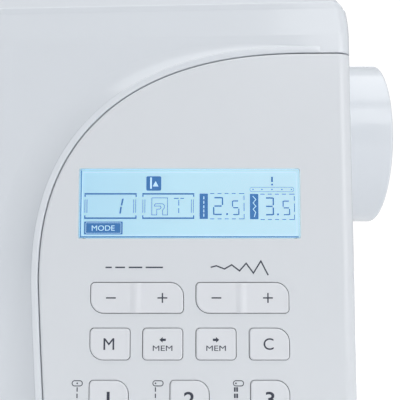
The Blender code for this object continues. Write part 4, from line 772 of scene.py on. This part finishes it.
def make_surround():
    """The raised lip round the seam and the hollow step that runs back from it to the leaning front.

    The section is carried along the seam: out of the gap, over the lip's rounded top, and down a
    slope whose foot meets the front tangentially. Its depth is what the front lies behind the panel,
    and its width is STEP_RATIO times the depth.
    """
    top = FRONT_Y + LIP_BACK
    start = top + LIP_RADIUS
    turn = np.linspace(0, math.pi / 2, 6)
    inner = [(SEAM_GAP + LIP_RADIUS * (1 - math.cos(t)), LIP_RADIUS * (1 - math.sin(t))) for t in turn]
    outer = [(SEAM_GAP + LIP_WIDTH - LIP_RADIUS * (1 - math.sin(t)), LIP_RADIUS * (1 - math.cos(t)))
             for t in turn]
    rings = [along_edge(reach, top + depth) for reach, depth in [(SEAM_GAP, BURIED)] + inner + outer]
    width = STEP_RATIO * np.maximum(front_y(panel_edge(SEAM_GAP + LIP_WIDTH)[:, 0]) - start, 0.2 * MM)
    for s in np.linspace(0, 1, 15)[1:]:
        reach = SEAM_GAP + LIP_WIDTH + width * s
        foot = front_y(panel_edge(reach)[:, 0]) + FRONT_LIFT
        y = np.where(foot > start, start + (foot - start) * (1 - (1 - s) ** STEP_POWER), foot)
        rings.append(along_edge(reach, y))
    rings.append(rings[-1] * (1, 0, 1) + (0, top + BURIED, 0))
    points, faces = skin(np.array(rings).transpose(1, 0, 2))
    return fit(piece("panel_surround", corner_roll(points), faces, WHITE_ABS, weighted=False), "root")


def make_seam():
    """The dark bottom of the gap round the panel: a sheet painted with the gap's shade."""
    inner, outer = -0.5 * MM, 0.7 * MM
    near, far = FRONT_Y + 2.2 * MM, FRONT_Y + 3 * MM
    rings = [along_edge(reach, y) for reach, y in ((inner, near), (outer, near), (outer, far), (inner, far))]
    points, faces = skin(np.array(rings).transpose(1, 0, 2))
    return fit(piece("panel_seam", corner_roll(points), faces, PANEL_GAP_SHADE, weighted=False), "root")


make_panel()
make_surround()
make_seam()

# ---- Printing ----------------------------------------------------------------------------------

def slab(loop, back_y, face_y):
    """A flat outline carried from its back to its face, towards the sewer."""
    return skin([lay(np.asarray(loop, float), y, "Y") for y in (back_y, face_y)])


def bar(u0, v0, u1, v1):
    """The four corners of an upright rectangle."""
    return [(u0, v0), (u1, v0), (u1, v1), (u0, v1)]


def ribbon(line, width, back_y, face_y, closed=False):
    """A line of constant width with mitred corners, as a solid between two depths."""
    line = np.asarray(line, float)
    along = np.roll(line, -1, 0) - line if closed else np.diff(line, axis=0)
    along /= np.linalg.norm(along, axis=1)[:, None]
    after = along if closed else np.vstack([along, along[-1:]])
    before = np.roll(along, 1, 0) if closed else np.vstack([along[:1], along])
    across = [np.stack([-a[:, 1], a[:, 0]], 1) for a in (before, after)]
    mitre = (across[0] + across[1]) / (1 + (before * after).sum(1))[:, None] * width / 2
    rings = [[(*(p + m), y) for m, y in ((w, back_y), (w, face_y), (-w, face_y), (-w, back_y))]
             for p, w in zip(line, mitre)]
    rings = np.array(rings)[:, :, [0, 2, 1]]
    if closed:
        rings = np.vstack([rings, rings[:1]])
    return skin(rings, caps=not closed)


def letters(text, centre, height, back_y, face_y, stretch=1.0, weight=0.0):
    """A word as a solid: its capitals' height and its middle are stated, and it faces the sewer."""
    curve = bpy.data.curves.new("legend", "FONT")
    curve.body, curve.extrude, curve.offset, curve.resolution_u = text, 0.5, weight, 5
    holder = bpy.data.objects.new("legend", curve)
    bpy.context.scene.collection.objects.link(holder)
    bpy.context.view_layer.update()
    mesh = bpy.data.meshes.new_from_object(holder.evaluated_get(bpy.context.evaluated_depsgraph_get()))
    points = np.array([v.co for v in mesh.vertices])
    faces = [list(p.vertices) for p in mesh.polygons]
    low, high = points.min(0), points.max(0)
    scale = height / (high[1] - low[1])
    u = (points[:, 0] - (low[0] + high[0]) / 2) * scale * stretch + centre[0]
    v = (points[:, 1] - (low[1] + high[1]) / 2) * scale + centre[1]
    y = np.where(points[:, 2] > 0, face_y, back_y)
    bpy.data.objects.remove(holder)
    bpy.data.curves.remove(curve)
    bpy.data.meshes.remove(mesh)
    return np.stack([u, y, v], 1), faces


def merged(parts):
    """Several sets of points and faces as one."""
    points, faces, start = [], [], 0
    for more, polygons in parts:
        points.append(more)
        faces += [[start + i for i in polygon] for polygon in polygons]
        start += len(more)
    return np.vstack(points), faces


def printed(name, parts, finish, body):
    """Many small printed shapes as one piece on a body."""
    return fit(piece(name, *merged(parts), finish, weighted=False), body)


def pill(u0, v0, u1, v1, steps=8):
    """The outline of a bar with round ends."""
    return outline(rectangle(u0, u1, v0, v1, min(u1 - u0, v1 - v0) / 2 * 0.98), 0, steps)


# ---- Keys --------------------------------------------------------------------------------------

INK_LIFT = 0.03 * MM
RIDGE_OFFSET = (-0.35 * MM, 2.1 * MM)


def ridge(centre):
    """A rounded rib across a rocker: raised by a squared cosine."""
    def move(points):
        moved = points.copy()
        reach = np.clip(np.abs(points[:, 0] - centre - RIDGE_OFFSET[0]) / RIDGE_OFFSET[1], 0, 1)
        front = points[:, 1] < points[:, 1].min() + 1.2 * MM
        moved[:, 1] -= np.where(front, 0.45 * MM * np.cos(reach * math.pi / 2) ** 2, 0)
        return moved
    return move


def make_key(name):
    """A cap with a rolled rim and a faintly dished face. It returns the depth that its legend lies at."""
    low, high = node_box(name)
    face, back = low[1] + 0.1 * MM, low[1] + 6 * MM
    dish = [(0.8 * MM, face + 0.01 * MM), (1.3 * MM, face + 0.06 * MM), (2.4 * MM, face + 0.1 * MM)]
    stations = [(0, back)] + fillet(0.45 * MM, back, face) + dish
    rings = [lay(outline(key_corners(name), inset), y, "Y") for inset, y in stations]
    key = piece(name + "_cap", *skin(rings), KEY_ABS)
    if name in ROCKERS:
        centre = (low[0] + high[0]) / 2
        slices = [((centre + RIDGE_OFFSET[0] + RIDGE_OFFSET[1] * s / 6, 0, 0), (1, 0, 0))
                  for s in range(-6, 7)]
        reshape(key, slices, ridge(centre))
    fit(key, name, name)
    return face + 0.1 * MM


def key_legend(name, low, high, back, face):
    """What a key says: a sign, a capital, a memory arrow or a number."""
    u, v = (low[0] + high[0]) / 2, (low[2] + high[2]) / 2
    half = 1.55 * MM
    thick = 0.42 * MM
    if name in ROCKERS:
        left, right = low[0] + 6.4 * MM, high[0] - 6.6 * MM
        return [slab(bar(left - half, v - thick / 2, left + half, v + thick / 2), back, face),
                slab(bar(right - half, v - thick / 2, right + half, v + thick / 2), back, face),
                slab(bar(right - thick / 2, v + thick / 2, right + thick / 2, v + half), back, face),
                slab(bar(right - thick / 2, v - half, right + thick / 2, v - thick / 2), back, face)]
    if name in ("key_mode", "key_clear"):
        capital = {"key_mode": "M", "key_clear": "C"}[name]
        return [letters(capital, (u - 0.3 * MM, v + 0.05 * MM), 3.6 * MM, back, face)]
    if name.startswith("key_memory"):
        way = -1 if name.endswith("back") else 1
        arrow = [(-1.0, 0.36), (0.0, 0.36), (0.0, 0.85), (1.0, 0), (0.0, -0.85), (0.0, -0.36), (-1.0, -0.36)]
        loop = [(u + way * a * MM, v + 1.35 * MM + b * MM) for a, b in arrow]
        return [slab(loop if way < 0 else loop[::-1], back, face),
                letters("MEM", (u, v - 1.25 * MM), 1.62 * MM, back, face, stretch=1.35)]
    return [letters(name[-1], (u - 0.1 * MM, v - 0.8 * MM), 4.6 * MM, back, face, stretch=1.15, weight=0.012)]


for key in KEYS:
    top = make_key(key)
    printed(key + "_legend", key_legend(key, *node_box(key), top + 0.02 * MM, top - INK_LIFT), INK, key)


# Beside a key: where the needle enters, the columns of stitches and half their width, in millimetres.
STITCH_MARKS = ((0.0, (0,), 0.17), (-0.8, (0,), 0.17), (-0.8, (-0.36, 0.36), 0.27))


def make_panel_print():
    """Stitch length as lengthening dashes, stitch width as a growing zigzag, and stitches beside the keys."""
    back, face = FRONT_Y + 0.02 * MM, FRONT_Y - INK_LIFT
    length_key, width_key = node_box(ROCKERS[0]), node_box(ROCKERS[1])
    row = length_key[1][2] + 4.85 * MM
    parts = []
    for start, end in ((4.5, 6.5), (7.6, 10.7), (11.9, 16.2), (17.3, 22.8)):
        u = length_key[0][0]
        parts.append(slab(bar(u + start * MM, row - 0.22 * MM, u + end * MM, row + 0.22 * MM), back, face))
    swing = ((4.6, 0), (6.4, 0.5), (9.0, -0.5), (11.3, 0.8), (13.8, -1.1), (15.9, 1.3), (18.2, -1.8),
             (20.6, 2.0), (22.9, -2.5))
    line = [(width_key[0][0] + u * MM, row + v * MM) for u, v in swing]
    parts.append(ribbon(line, 0.42 * MM, back, face))
    for index, key in enumerate(DIRECT_KEYS):
        low, high = node_box(key)
        u, top = low[0] - 3.85 * MM, high[2] - 0.85 * MM
        ring = pill(u - 1.6 * MM, top - 0.8 * MM, u + 1.6 * MM, top + 0.8 * MM)
        parts.append(ribbon(ring, 0.26 * MM, back, face, closed=True))
        needle, columns, half = STITCH_MARKS[index % 3]
        u += needle * MM
        parts.append(slab(pill(u - 0.25 * MM, top - 0.25 * MM, u + 0.25 * MM, top + 0.25 * MM), back, face))
        for dash in range(4):
            v = top - (1.2 + dash * 1.95) * MM
            for column in columns:
                left = u + (column - half) * MM
                parts.append(slab(bar(left, v - 1.35 * MM, left + 2 * half * MM, v), back, face))
    return printed("panel_print", parts, INK, "root")


make_panel_print()

# ---- Screen ------------------------------------------------------------------------------------

def seven_segments(u, v, width, height, thick, lit):
    """A numeral from the bars a to g, named as on any seven-segment display."""
    gap, middle = 0.12 * MM, v + height / 2
    right, top = u + width, v + height
    bars = {"a": (u + thick, top - thick, right - thick, top),
            "b": (right - thick, middle + thick / 2 + gap, right, top - gap),
            "c": (right - thick, v + gap, right, middle - thick / 2 - gap),
            "d": (u + thick, v, right - thick, v + thick),
            "e": (u, v + gap, u + thick, middle - thick / 2 - gap),
            "f": (u, middle + thick / 2 + gap, u + thick, top - gap),
            "g": (u + thick, middle - thick / 2, right - thick, middle + thick / 2)}
    return [bars[name] for name in lit]


def on_screen(points):
    """Places on the screen, stated in millimetres from its lower left corner."""
    return [(SCREEN_LOW[0] + u * MM, SCREEN_LOW[2] + v * MM) for u, v in points]


def field(left, bottom, right, top, radius, steps=4):
    """The outline of a rounded rectangle on the screen, stated in millimetres."""
    (u0, v0), (u1, v1) = on_screen([(left, bottom), (right, top)])
    return outline(rectangle(u0, u1, v0, v1, radius * MM), 0, steps)


def marks(boxes, back, face):
    """Bars on the screen, each from (left, bottom, right, top) in millimetres."""
    return [slab(on_screen(bar(*edges)), back, face) for edges in boxes]


def stitch_frames():
    """Bars of the two frames on the left, with a step at each end and a double upright at each side."""
    bars = []
    for start, end in ((1.4, 18.3), (20.1, 36.9)):
        for base, hook in ((6.04, 6.54), (13.91, 13.2)):
            bars.append((start, base, end, base + 0.5))
            bars += [(start, hook, start + 0.4, hook + 0.65), (end - 0.4, hook, end, hook + 0.65)]
        bars += [(u, 8.04, u + 0.2, 12.35) for u in (start + 0.1, start + 0.75, end - 1.05, end - 0.4)]
    return bars


def size_frames():
    """Bars of the two dashed frames on the right, round the stitch length and the stitch width."""
    bars = []
    for start, base in ((42.0, 5.94), (58.25, 5.74)):
        for a, b in ((0, 1.4), (2.4, 3.7), (4.7, 6.0), (7.0, 8.3), (9.3, 11.1)):
            bars += [(start + a, base + v, start + b, base + v + 0.25) for v in (0, 8.2)]
        bars += [(start + 10.85, base + a, start + 11.1, base + b)
                 for a, b in ((0.3, 1.7), (2.6, 5.3), (6.2, 7.7))]
    return bars


def foot_letter_and_points():
    """Bars of the presser-foot letter, the decimal points, the needle mark and the needle positions."""
    bars = [(30.28, 12.55, 31.88, 12.85), (32.38, 12.55, 33.58, 12.85), (31.74, 10.34, 32.03, 12.15),
            (31.74, 7.94, 32.04, 9.54), (47.2, 7.3, 47.8, 7.9), (63.6, 7.2, 64.2, 7.8),
            (61.8, 18.0, 62.4, 19.75), (61.8, 16.9, 62.4, 17.5)]
    return bars + [(u - 0.2, 15.4, u + 0.2, 15.8) for u in (55.9, 58.8, 62.05, 65.25, 68.35)]


def screen_numerals(back, face):
    """The stitch length and width, and the slanted 1 of the chosen stitch."""
    numerals = ((42.93, 7.28, 3.3, 5.87, 0.46, "abged"), (49.07, 7.28, 2.4, 4.77, 0.38, "afgcd"),
                (59.6, 7.18, 3.05, 5.87, 0.46, "abgcd"), (65.4, 7.23, 2.45, 4.77, 0.38, "afgcd"))
    shapes = []
    for u, v, width, height, thick, lit in numerals:
        (left, foot), = on_screen([(u, v)])
        shapes += [slab(bar(*edges), back, face)
                   for edges in seven_segments(left, foot, width * MM, height * MM, thick * MM, lit)]
    for (a, b), (c, d) in (((13.56, 12.6), (13.14, 10.39)), ((12.99, 9.99), (12.72, 7.79))):
        shapes.append(slab(on_screen([(c, d), (c + 0.52, d), (a + 0.55, b), (a, b)]), back, face))
    return shapes


def screen_dark_marks(back, face):
    """All that the screen shows in blue: frames, numerals, the presser foot, pictogram fields, and painted
    shade along the screen's left and bottom edges.
    """
    shapes = marks(stitch_frames() + size_frames() + foot_letter_and_points(), back, face)
    shapes += screen_numerals(back, face)
    foot = [(24.8, 7.33), (23.2, 7.33), (23.2, 12.85), (28.3, 12.85), (28.3, 7.33), (26.7, 7.33),
            (26.7, 8.94), (27.2, 9.54), (27.2, 10.54), (26.7, 10.94), (24.4, 10.94), (24.0, 10.5),
            (24.0, 10.2), (26.0, 10.2), (26.2, 9.7), (25.8, 9.2), (24.8, 9.2)]
    shapes.append(ribbon(on_screen(foot), 0.2 * MM, back, face, closed=True))
    (left, base), (right, crown) = on_screen([(54.9, 14.86), (69.1, 16.3)])
    shapes.append(ribbon(pill(left, base, right, crown), 0.13 * MM, back, face, closed=True))
    # Painted shade: dark blue bars along the screen's left and bottom edges, where the window's edge shades
    # the cell.
    edge = 0.3 * MM
    inner, foot_v = SCREEN_LOW[0] + 1.5 * edge, SCREEN_LOW[2] + edge / 2
    shapes += [slab(bar(SCREEN_LOW[0] + edge / 2, foot_v, inner, SCREEN_HIGH[2] - edge), back, face),
               slab(bar(inner, foot_v, SCREEN_HIGH[0] - edge, SCREEN_LOW[2] + 1.5 * edge), back, face)]
    fields = ((21.35, 15.2, 26.2, 19.9, 0.5), (38.6, 6.04, 41.3, 14.26, 0.05),
              (54.85, 5.94, 57.6, 14.16, 0.05), (1.45, 1.05, 13.85, 5.19, 0.15))
    return shapes + [slab(field(*edges), back, face) for edges in fields]


def screen_light_marks_and_painted_highlight(back, face):
    """What stands light on the blue fields, and the light line round the screen, which is a painted
    highlight.
    """
    shapes = marks([(22.6, 15.87, 23.17, 19.5)]
                   + [(39.83, v, 40.13, v + 0.95) for v in (6.8, 8.15, 9.5, 10.95, 12.4)], back, face)
    shapes.append(slab(on_screen([(23.44, 16.58), (25.3, 16.58), (24.39, 18.34)]), back, face))
    swing = [(55.8, 13.45), (56.8, 12.35), (55.9, 11.19), (56.8, 10.19), (55.9, 9.19), (56.7, 8.19),
             (56.25, 6.69)]
    shapes.append(ribbon(on_screen(swing), 0.24 * MM, back, face))
    shapes.append(ribbon(field(2.0, 1.45, 13.3, 4.8, 0.2, steps=3), 0.13 * MM, back, face, closed=True))
    (middle,) = on_screen([(7.6, 3.1)])
    shapes.append(letters("MODE", middle, 1.7 * MM, back, face, stretch=1.1))
    # A painted highlight: a light line round the screen, just inside the window's edge.
    painted_highlight_line = outline(rectangle(SCREEN_LOW[0] + 0.8 * MM, SCREEN_HIGH[0] - 0.8 * MM,
                                   SCREEN_LOW[2] + 0.75 * MM, SCREEN_HIGH[2] - 0.95 * MM, 0.4 * MM), 0, 4)
    return shapes + [ribbon(painted_highlight_line, 0.18 * MM, back, face, closed=True)]


def make_screen():
    """A clear window flush with the panel, a lit cell behind it, and the cell's segments, with painted shade
    along the screen's left and bottom edges and a painted highlight line round the screen.
    """
    glass = around("lcd_window", (0, 2), 0, 0.5 * MM)
    fit(block("screen_glass", glass, FRONT_Y + 0.85 * MM, FRONT_Y + 0.3 * MM, "Y", ACRYLIC,
              0.05 * MM, 0.12 * MM), "root", "lcd_window")
    cell_y = FRONT_Y + 1.0 * MM
    fit(block("screen_cell", glass, node_box("lcd_module")[1][1], cell_y, "Y", LCD, 0.2 * MM, 0.05 * MM),
        "root", "lcd_module")
    back, face = cell_y + 0.02 * MM, cell_y - 0.02 * MM
    printed("screen_segments_and_painted_shade", screen_dark_marks(back, face), LCD_INK_AND_PAINTED_SHADE, "root")
    printed("screen_light_marks_and_painted_highlight", screen_light_marks_and_painted_highlight(face + 0.01 * MM, face - 0.02 * MM), LCD_LIGHT_AND_PAINTED_HIGHLIGHT, "root")


make_screen()


# ---- Handwheel and lid -------------------------------------------------------------------------

def make_wheel():
    """A cup-shaped wheel: a smooth rim, a face sunk inside it, and a hollow back round the hub."""
    inner, outer = WHEEL_LOW[0], WHEEL_HIGH[0]
    radius = (WHEEL_HIGH[2] - WHEEL_LOW[2]) / 2
    rim = [(radius - inset, x) for inset, x in fillet(1.1 * MM, inner, outer)]
    back = [(radius - inset, x) for inset, x in fillet(0.8 * MM, outer, inner)]
    sunk = outer - 1.2 * MM
    profile = [(0, sunk), (24 * MM, sunk), (27 * MM, sunk + 0.3 * MM), (29.5 * MM, outer - 0.25 * MM),
               (31 * MM, outer)] + rim[::-1]
    profile += back + [(radius - 3.5 * MM, inner), (radius - 3.5 * MM, outer - 7 * MM),
                       (radius - 6 * MM, outer - 4 * MM), (13 * MM, outer - 4 * MM), (12.5 * MM, inner),
                       (6.4 * MM, inner), (6.4 * MM, outer - 5 * MM), (0, outer - 5 * MM)]
    wheel = turned("wheel", profile, "X", (0, SHAFT_Y, SHAFT_Z), WHITE_ABS, steps=160)
    return fit(wheel, "upper_shaft", "handwheel")


def lid_corners(inset, drop):
    """The lid from its end: a short upright lip, a front that leans back steeply, and a rounded crown."""
    front, rear, top = LID_LOW[1], LID_HIGH[1], LID_HIGH[2]
    return [(front + inset, DECK_Z - drop, 0.2 * MM), (rear - inset, DECK_Z - drop, 0.2 * MM),
            (rear - inset, top - inset, 5 * MM - inset / 2),
            (front + 28 * MM + inset / 2, top - inset, 16 * MM - inset),
            (front + inset, DECK_Z + 2.4 * MM, 0.8 * MM)]


def make_lid():
    """The lid over the spool: moulded hollow, its front following the arm's lean."""
    low_x, high_x = LID_LOW[0], SIDE_X - 0.4 * MM
    lid = block("lid", lid_corners(0, 20 * MM), low_x, high_x, "X", WHITE_ABS, CORNER, CORNER, steps=12,
                edge_steps=8)
    hollow = cutter_block(lid_corners(WALL, 30 * MM), low_x + WALL, high_x - WALL, "X", steps=12)
    below = cutter_block(rectangle(-1, 1, -1, 1, 10 * MM), DECK_Z - 40 * MM, DECK_Z + 0.12 * MM, "Z")
    boolean(lid, [hollow, below])

    def follow(points):
        moved = tuck(points)
        share = np.clip((LID_HIGH[1] - points[:, 1]) / (LID_HIGH[1] - FRONT_Y), 0, 1)
        moved[:, 1] += share * LEAN * (SIDE_X - points[:, 0])
        return moved
    reshape(lid, tuck_planes(DECK_Z, DECK_Z + 14 * MM), follow)
    return fit(lid, "top_lid", "top_lid")


make_wheel()
make_lid()


# ---- Free arm, accessory box and base ----------------------------------------------------------

def make_free_arm():
    """The hollow sleeve under the needle, cut away for the needle plate, the cover and the hook."""
    low, high = ARM_LOW, ARM_HIGH
    section = rectangle(low[1], high[1], low[2], high[2], 3 * MM)
    section = [(u, v, 0.8 * MM if v == high[2] else r) for u, v, r in section]
    arm = block("free_arm", section, low[0], high[0], "X", WHITE_ABS, 1.2 * MM, 0.2 * MM)
    plate_low, plate_high = node_box("needle_plate")
    cover_low, cover_high = node_box("bobbin_cover")
    room, deep = 0.3 * MM, plate_low[2] - 0.3 * MM
    up = high[2] + 10 * MM
    hollow = rectangle(low[1] + WALL, high[1] - WALL, low[2] + WALL, plate_low[2] - 2 * MM, 2 * MM)
    end = low[0] + 1.2 * MM
    plate_seat = rectangle(end, plate_high[0] + room, plate_low[1] - room, plate_high[1] + room, 0.6 * MM)
    cover_seat = rectangle(end, cover_high[0] + room, low[1] - 10 * MM, plate_low[1], 0.3 * MM)
    hook_well = rectangle(low[0] + 5.5 * MM, plate_high[0] - 3 * MM, cover_low[1] + 10 * MM,
                          plate_high[1] - 3 * MM, 2 * MM)
    boolean(arm, [cutter_block(hollow, low[0] + WALL, high[0] + 10 * MM, "X"),
                  cutter_block(plate_seat, deep, up, "Z"), cutter_block(cover_seat, deep, up, "Z"),
                  cutter_block(hook_well, deep - 10 * MM, up, "Z")])
    return fit(arm, "root", "free_arm_cover")


def make_accessory_box():
    """The box round the free arm's front and end, open towards the arm."""
    left, front, right, rear = BOX_LOW[0], BOX_LOW[1], BOX_HIGH[0], BOX_HIGH[1]
    face, end = ARM_LOW[1] - 0.3 * MM, ARM_LOW[0] - 0.6 * MM
    plan = [(left, front, 16 * MM), (right, front, 4 * MM), (right, face, 0.3 * MM), (end, face, 0.6 * MM),
            (end, rear, 0.3 * MM), (left, rear, 16 * MM)]
    box = block("accessory_drawer", plan, BOX_LOW[2], BOX_HIGH[2], "Z", WHITE_ABS, 2 * MM, 1.6 * MM)
    cover_low, cover_high = node_box("bobbin_cover")
    wall = 3.5 * MM
    pocket = rectangle(left + 36 * MM, right - wall, front + wall, face + 10 * MM, 3 * MM)
    channel = rectangle(cover_low[0] - 1.2 * MM, cover_high[0] + 1.2 * MM, front - 10 * MM, face + 10 * MM,
                        0.5 * MM)
    boolean(box, [cutter_block(pocket, BOX_LOW[2] + wall, BOX_HIGH[2] - 7 * MM, "Z"),
                  cutter_block(channel, cover_low[2] - 0.6 * MM, BOX_HIGH[2] + 10 * MM, "Z")])
    return fit(box, "accessory_box", "accessory_box")


def make_base():
    """The tray under the pillar and the free arm, on four turned rubber feet."""
    arm_front = -50 * MM
    plan = [(BASE_LOW[0], arm_front, 10 * MM), (PILLAR_X, arm_front, 0.5 * MM),
            (PILLAR_X, BASE_LOW[1], 0.5 * MM), (BASE_HIGH[0], BASE_LOW[1], 6 * MM),
            (BASE_HIGH[0], BASE_HIGH[1], 10 * MM), (BASE_LOW[0], BASE_HIGH[1], 20 * MM)]
    fit(block("base", plan, 4 * MM, BASE_HIGH[2], "Z", WHITE_ABS, 1.5 * MM, 0.8 * MM), "root", "base_tray")
    feet = [(BASE_LOW[0] + 18 * MM, arm_front + 18 * MM), (BASE_LOW[0] + 18 * MM, BASE_HIGH[1] - 18 * MM),
            (BASE_HIGH[0] - 16 * MM, BASE_LOW[1] + 16 * MM), (BASE_HIGH[0] - 16 * MM, BASE_HIGH[1] - 18 * MM)]
    profile = [(0, 0), (9.6 * MM, 0), (10.6 * MM, 0.5 * MM), (11 * MM, 1.5 * MM), (11 * MM, 5 * MM),
               (0, 5 * MM)]
    for number, (x, y) in enumerate(feet):
        fit(turned(f"foot_{number}", profile, "Z", (x, y, 0), RUBBER, steps=64), "root")


make_free_arm()
make_accessory_box()
make_base()


# ---- Head, controls and handle -----------------------------------------------------------------

def make_face():
    """The end cover of the head, its edge rolled, with three vents and a window for the pressure dial."""
    plan = rectangle(FACE_LOW[1], FACE_HIGH[1], FACE_LOW[2], FACE_HIGH[2], 10 * MM)
    face = block("face_end", plan, FACE_HIGH[0], FACE_LOW[0], "X", WHITE_ABS, 0.3 * MM, 3 * MM)
    window = around("pressure_dial", (1, 2), 1 * MM, 11 * MM)
    slots = [cutter_block(rectangle(-30 * MM, 32 * MM, z, z + 1.6 * MM, 0.7 * MM), FACE_LOW[0] - 5 * MM,
                          FACE_LOW[0] + 1 * MM, "X") for z in (172 * MM, 178 * MM, 184 * MM)]
    boolean(face, [cutter_block(window, FACE_LOW[0] - 5 * MM, FACE_HIGH[0] + 5 * MM, "X"), *slots])
    return fit(face, "root", "face_cover")


def fluted(obj, axis, centre, low, high, count=40, depth=0.35 * MM):
    """Presses shallow flutes into a turned rim between two heights: the radius falls by a cosine."""
    plane = [i for i in range(3) if i != "XYZ".index(axis)]
    points = np.array([v.co for v in obj.data.vertices])
    along = points[:, "XYZ".index(axis)]
    away = points[:, plane] - np.asarray(centre)[plane]
    radius = np.linalg.norm(away, axis=1)
    angle = np.arctan2(away[:, 1], away[:, 0])
    inside = (along > low) & (along < high) & (radius > radius.max() * 0.9)
    fall = np.where(inside, depth * (0.5 - 0.5 * np.cos(count * angle)), 0)
    points[:, plane] -= away / np.maximum(radius, 1e-9)[:, None] * fall[:, None]
    obj.data.vertices.foreach_set("co", points.ravel())
    obj.data.update()
    return obj


def make_dial(name, axis, outward, body_depth):
    """A control dial: a fluted rim, a rounded edge and a slightly hollow face, on a short stem."""
    low, high = node_box(name)
    index = "XYZ".index(axis)
    centre = (low + high) / 2
    inward = -outward
    face, end = (low[index], high[index]) if outward < 0 else (high[index], low[index])
    back = face + inward * body_depth
    across = [i for i in range(3) if i != index]
    radius = (high[across[0]] - low[across[0]]) / 2
    centre[index] = 0
    profile = [(0, face + inward * 0.3 * MM), (radius * 0.7, face + inward * 0.2 * MM),
               (radius - 1.4 * MM, face), (radius - 0.5 * MM, face + inward * 0.4 * MM),
               (radius, face + inward * 1.4 * MM), (radius, face + inward * 1.6 * MM),
               (radius, back - inward * 1.0 * MM), (radius, back - inward * 0.7 * MM),
               (radius - 0.6 * MM, back), (4.0 * MM, back), (4.0 * MM, end), (0, end)]
    dial = turned(name + "_knob", profile, axis, centre, WHITE_ABS, steps=240)
    reach = sorted((face + inward * 1.5 * MM, back - inward * 0.9 * MM))
    fluted(dial, axis, centre, *reach)
    return fit(dial, name, name)


# The knob stays clear of the leaning front at both ends of its slot.
KNOB_DEPTH = 5.5 * MM
BUTTON_SIGNS = {
    "start_stop_button": [[(-1.6, -1.9), (2.1, 0), (-1.6, 1.9)]],
    "reverse_button": [[(-1.9, -0.5), (0.6, -0.5), (0.6, -1.5), (2.2, 0.2), (0.6, 1.9), (0.6, 0.9),
                        (-1.9, 0.9)]],
    "needle_position_button": [[(-1.5, 0.4), (1.5, 0.4), (0, 2.3)], [(-1.5, -0.4), (0, -2.3), (1.5, -0.4)]],
}


def make_button(name):
    """A round button with a shallow hollow in its face, and the sign printed there."""
    low, high = node_box(name)
    x, z = (low[0] + high[0]) / 2, (low[2] + high[2]) / 2
    radius = (high[0] - low[0]) / 2
    profile = [(0, low[1] + 0.35 * MM), (radius * 0.6, low[1] + 0.2 * MM), (radius - 0.9 * MM, low[1]),
               (radius - 0.25 * MM, low[1] + 0.3 * MM), (radius, low[1] + 0.9 * MM), (radius, high[1]),
               (0, high[1])]
    fit(turned(name + "_cap", profile, "Y", (x, 0, z), GREY_ABS, steps=72), name, name)
    parts = [slab([(x + u * MM, z + v * MM) for u, v in loop], low[1] + 0.36 * MM, low[1] + 0.14 * MM)
             for loop in BUTTON_SIGNS[name]]
    printed(name + "_sign", parts, INK, name)


def make_slider():
    """The speed knob in front of its slot, with three grooves, and the stem that goes through."""
    low, high = node_box("speed_slider")
    knob = block("speed_knob", around("speed_slider", (0, 2), 0, 2 * MM), low[1] + KNOB_DEPTH, low[1], "Y",
                 GREY_ABS, 0.4 * MM, 1.2 * MM)
    grooves = [cutter_block(rectangle(x - 0.4 * MM, x + 0.4 * MM, low[2] - 1 * MM, high[2] + 1 * MM,
                                      0.2 * MM), low[1] - 1 * MM, low[1] + 0.6 * MM, "Y")
               for x in np.linspace(low[0] + 3 * MM, high[0] - 3 * MM, 3)]
    boolean(knob, grooves)
    fit(knob, "speed_slider", "speed_slider")
    x, z = node_middle("speed_slider", (0, 2))
    stem = rectangle(x - 2 * MM, x + 2 * MM, z - 1.6 * MM, z + 1.6 * MM, 0.5 * MM)
    fit(block("speed_stem", stem, high[1], low[1] + KNOB_DEPTH - 0.5 * MM, "Y", GREY_ABS), "speed_slider")


def make_handle():
    """A folding carry handle: a softly rounded bail on two pins."""
    low, high = HANDLE_LOW, HANDLE_HIGH
    pin, thick = 6 * MM, 10 * MM
    left, right, foot, top = low[0] + pin, high[0] - pin, low[2], high[2]
    loop = [(left, foot, 15 * MM), (right, foot, 15 * MM), (right, top, 4.8 * MM),
            (right - thick, top, 4.8 * MM), (right - thick, foot + thick, 6 * MM),
            (left + thick, foot + thick, 6 * MM),
            (left + thick, top, 4.8 * MM), (left, top, 4.8 * MM)]
    bail = block("handle_bail", loop, high[1], low[1], "Y", WHITE_ABS, 2.6 * MM, 2.6 * MM)
    fit(bail, "carry_handle", "carry_handle")
    y, z = (low[1] + high[1]) / 2, HANDLE_AXIS_Z
    for side, start, end in (("left", low[0], left + 1 * MM), ("right", right - 1 * MM, high[0])):
        profile = [(0, start), (3 * MM, start), (3 * MM, end), (0, end)]
        fit(turned(f"handle_pin_{side}", profile, "X", (0, y, z), WHITE_ABS, steps=48), "carry_handle")


make_face()
make_dial("tension_dial", "Y", -1, 9 * MM)
make_dial("pressure_dial", "X", -1, 7 * MM)
for name in BUTTONS:
    make_button(name)
make_slider()
make_handle()


# ---- Finishes of the frame's own pieces --------------------------------------------------------

CLEAR_ABS = material("clear_acrylic_smoke", "#E4ECF0", 0.06, ior=1.49, transmission=0.85, tint=0.01)
FINISHES = {
    BRIGHT: "main_shaft lower_shaft needle_bar needle_clamp needle presser_bar presser_foot take_up_lever "
            "needle_plate",
    DARK: "drive_motor rotary_hook feed_carrier feed_dog",
    CAST: "frame_casting crank_disc needle_bar_frame",
    NYLON: "bobbin_case motor_pulley power_switch power_inlet",
    RUBBER: "timing_belt",
    BOARD: "control_board",
    WHITE_ABS: "spool_pin winder_spindle",
    GREY_ABS: "lifter_lever",
    CLEAR_ABS: "bobbin bobbin_cover",
}
for finish, names in FINISHES.items():
    for name in names.split():
        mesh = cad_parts[name].data
        mesh.materials.clear()
        mesh.materials.append(finish)
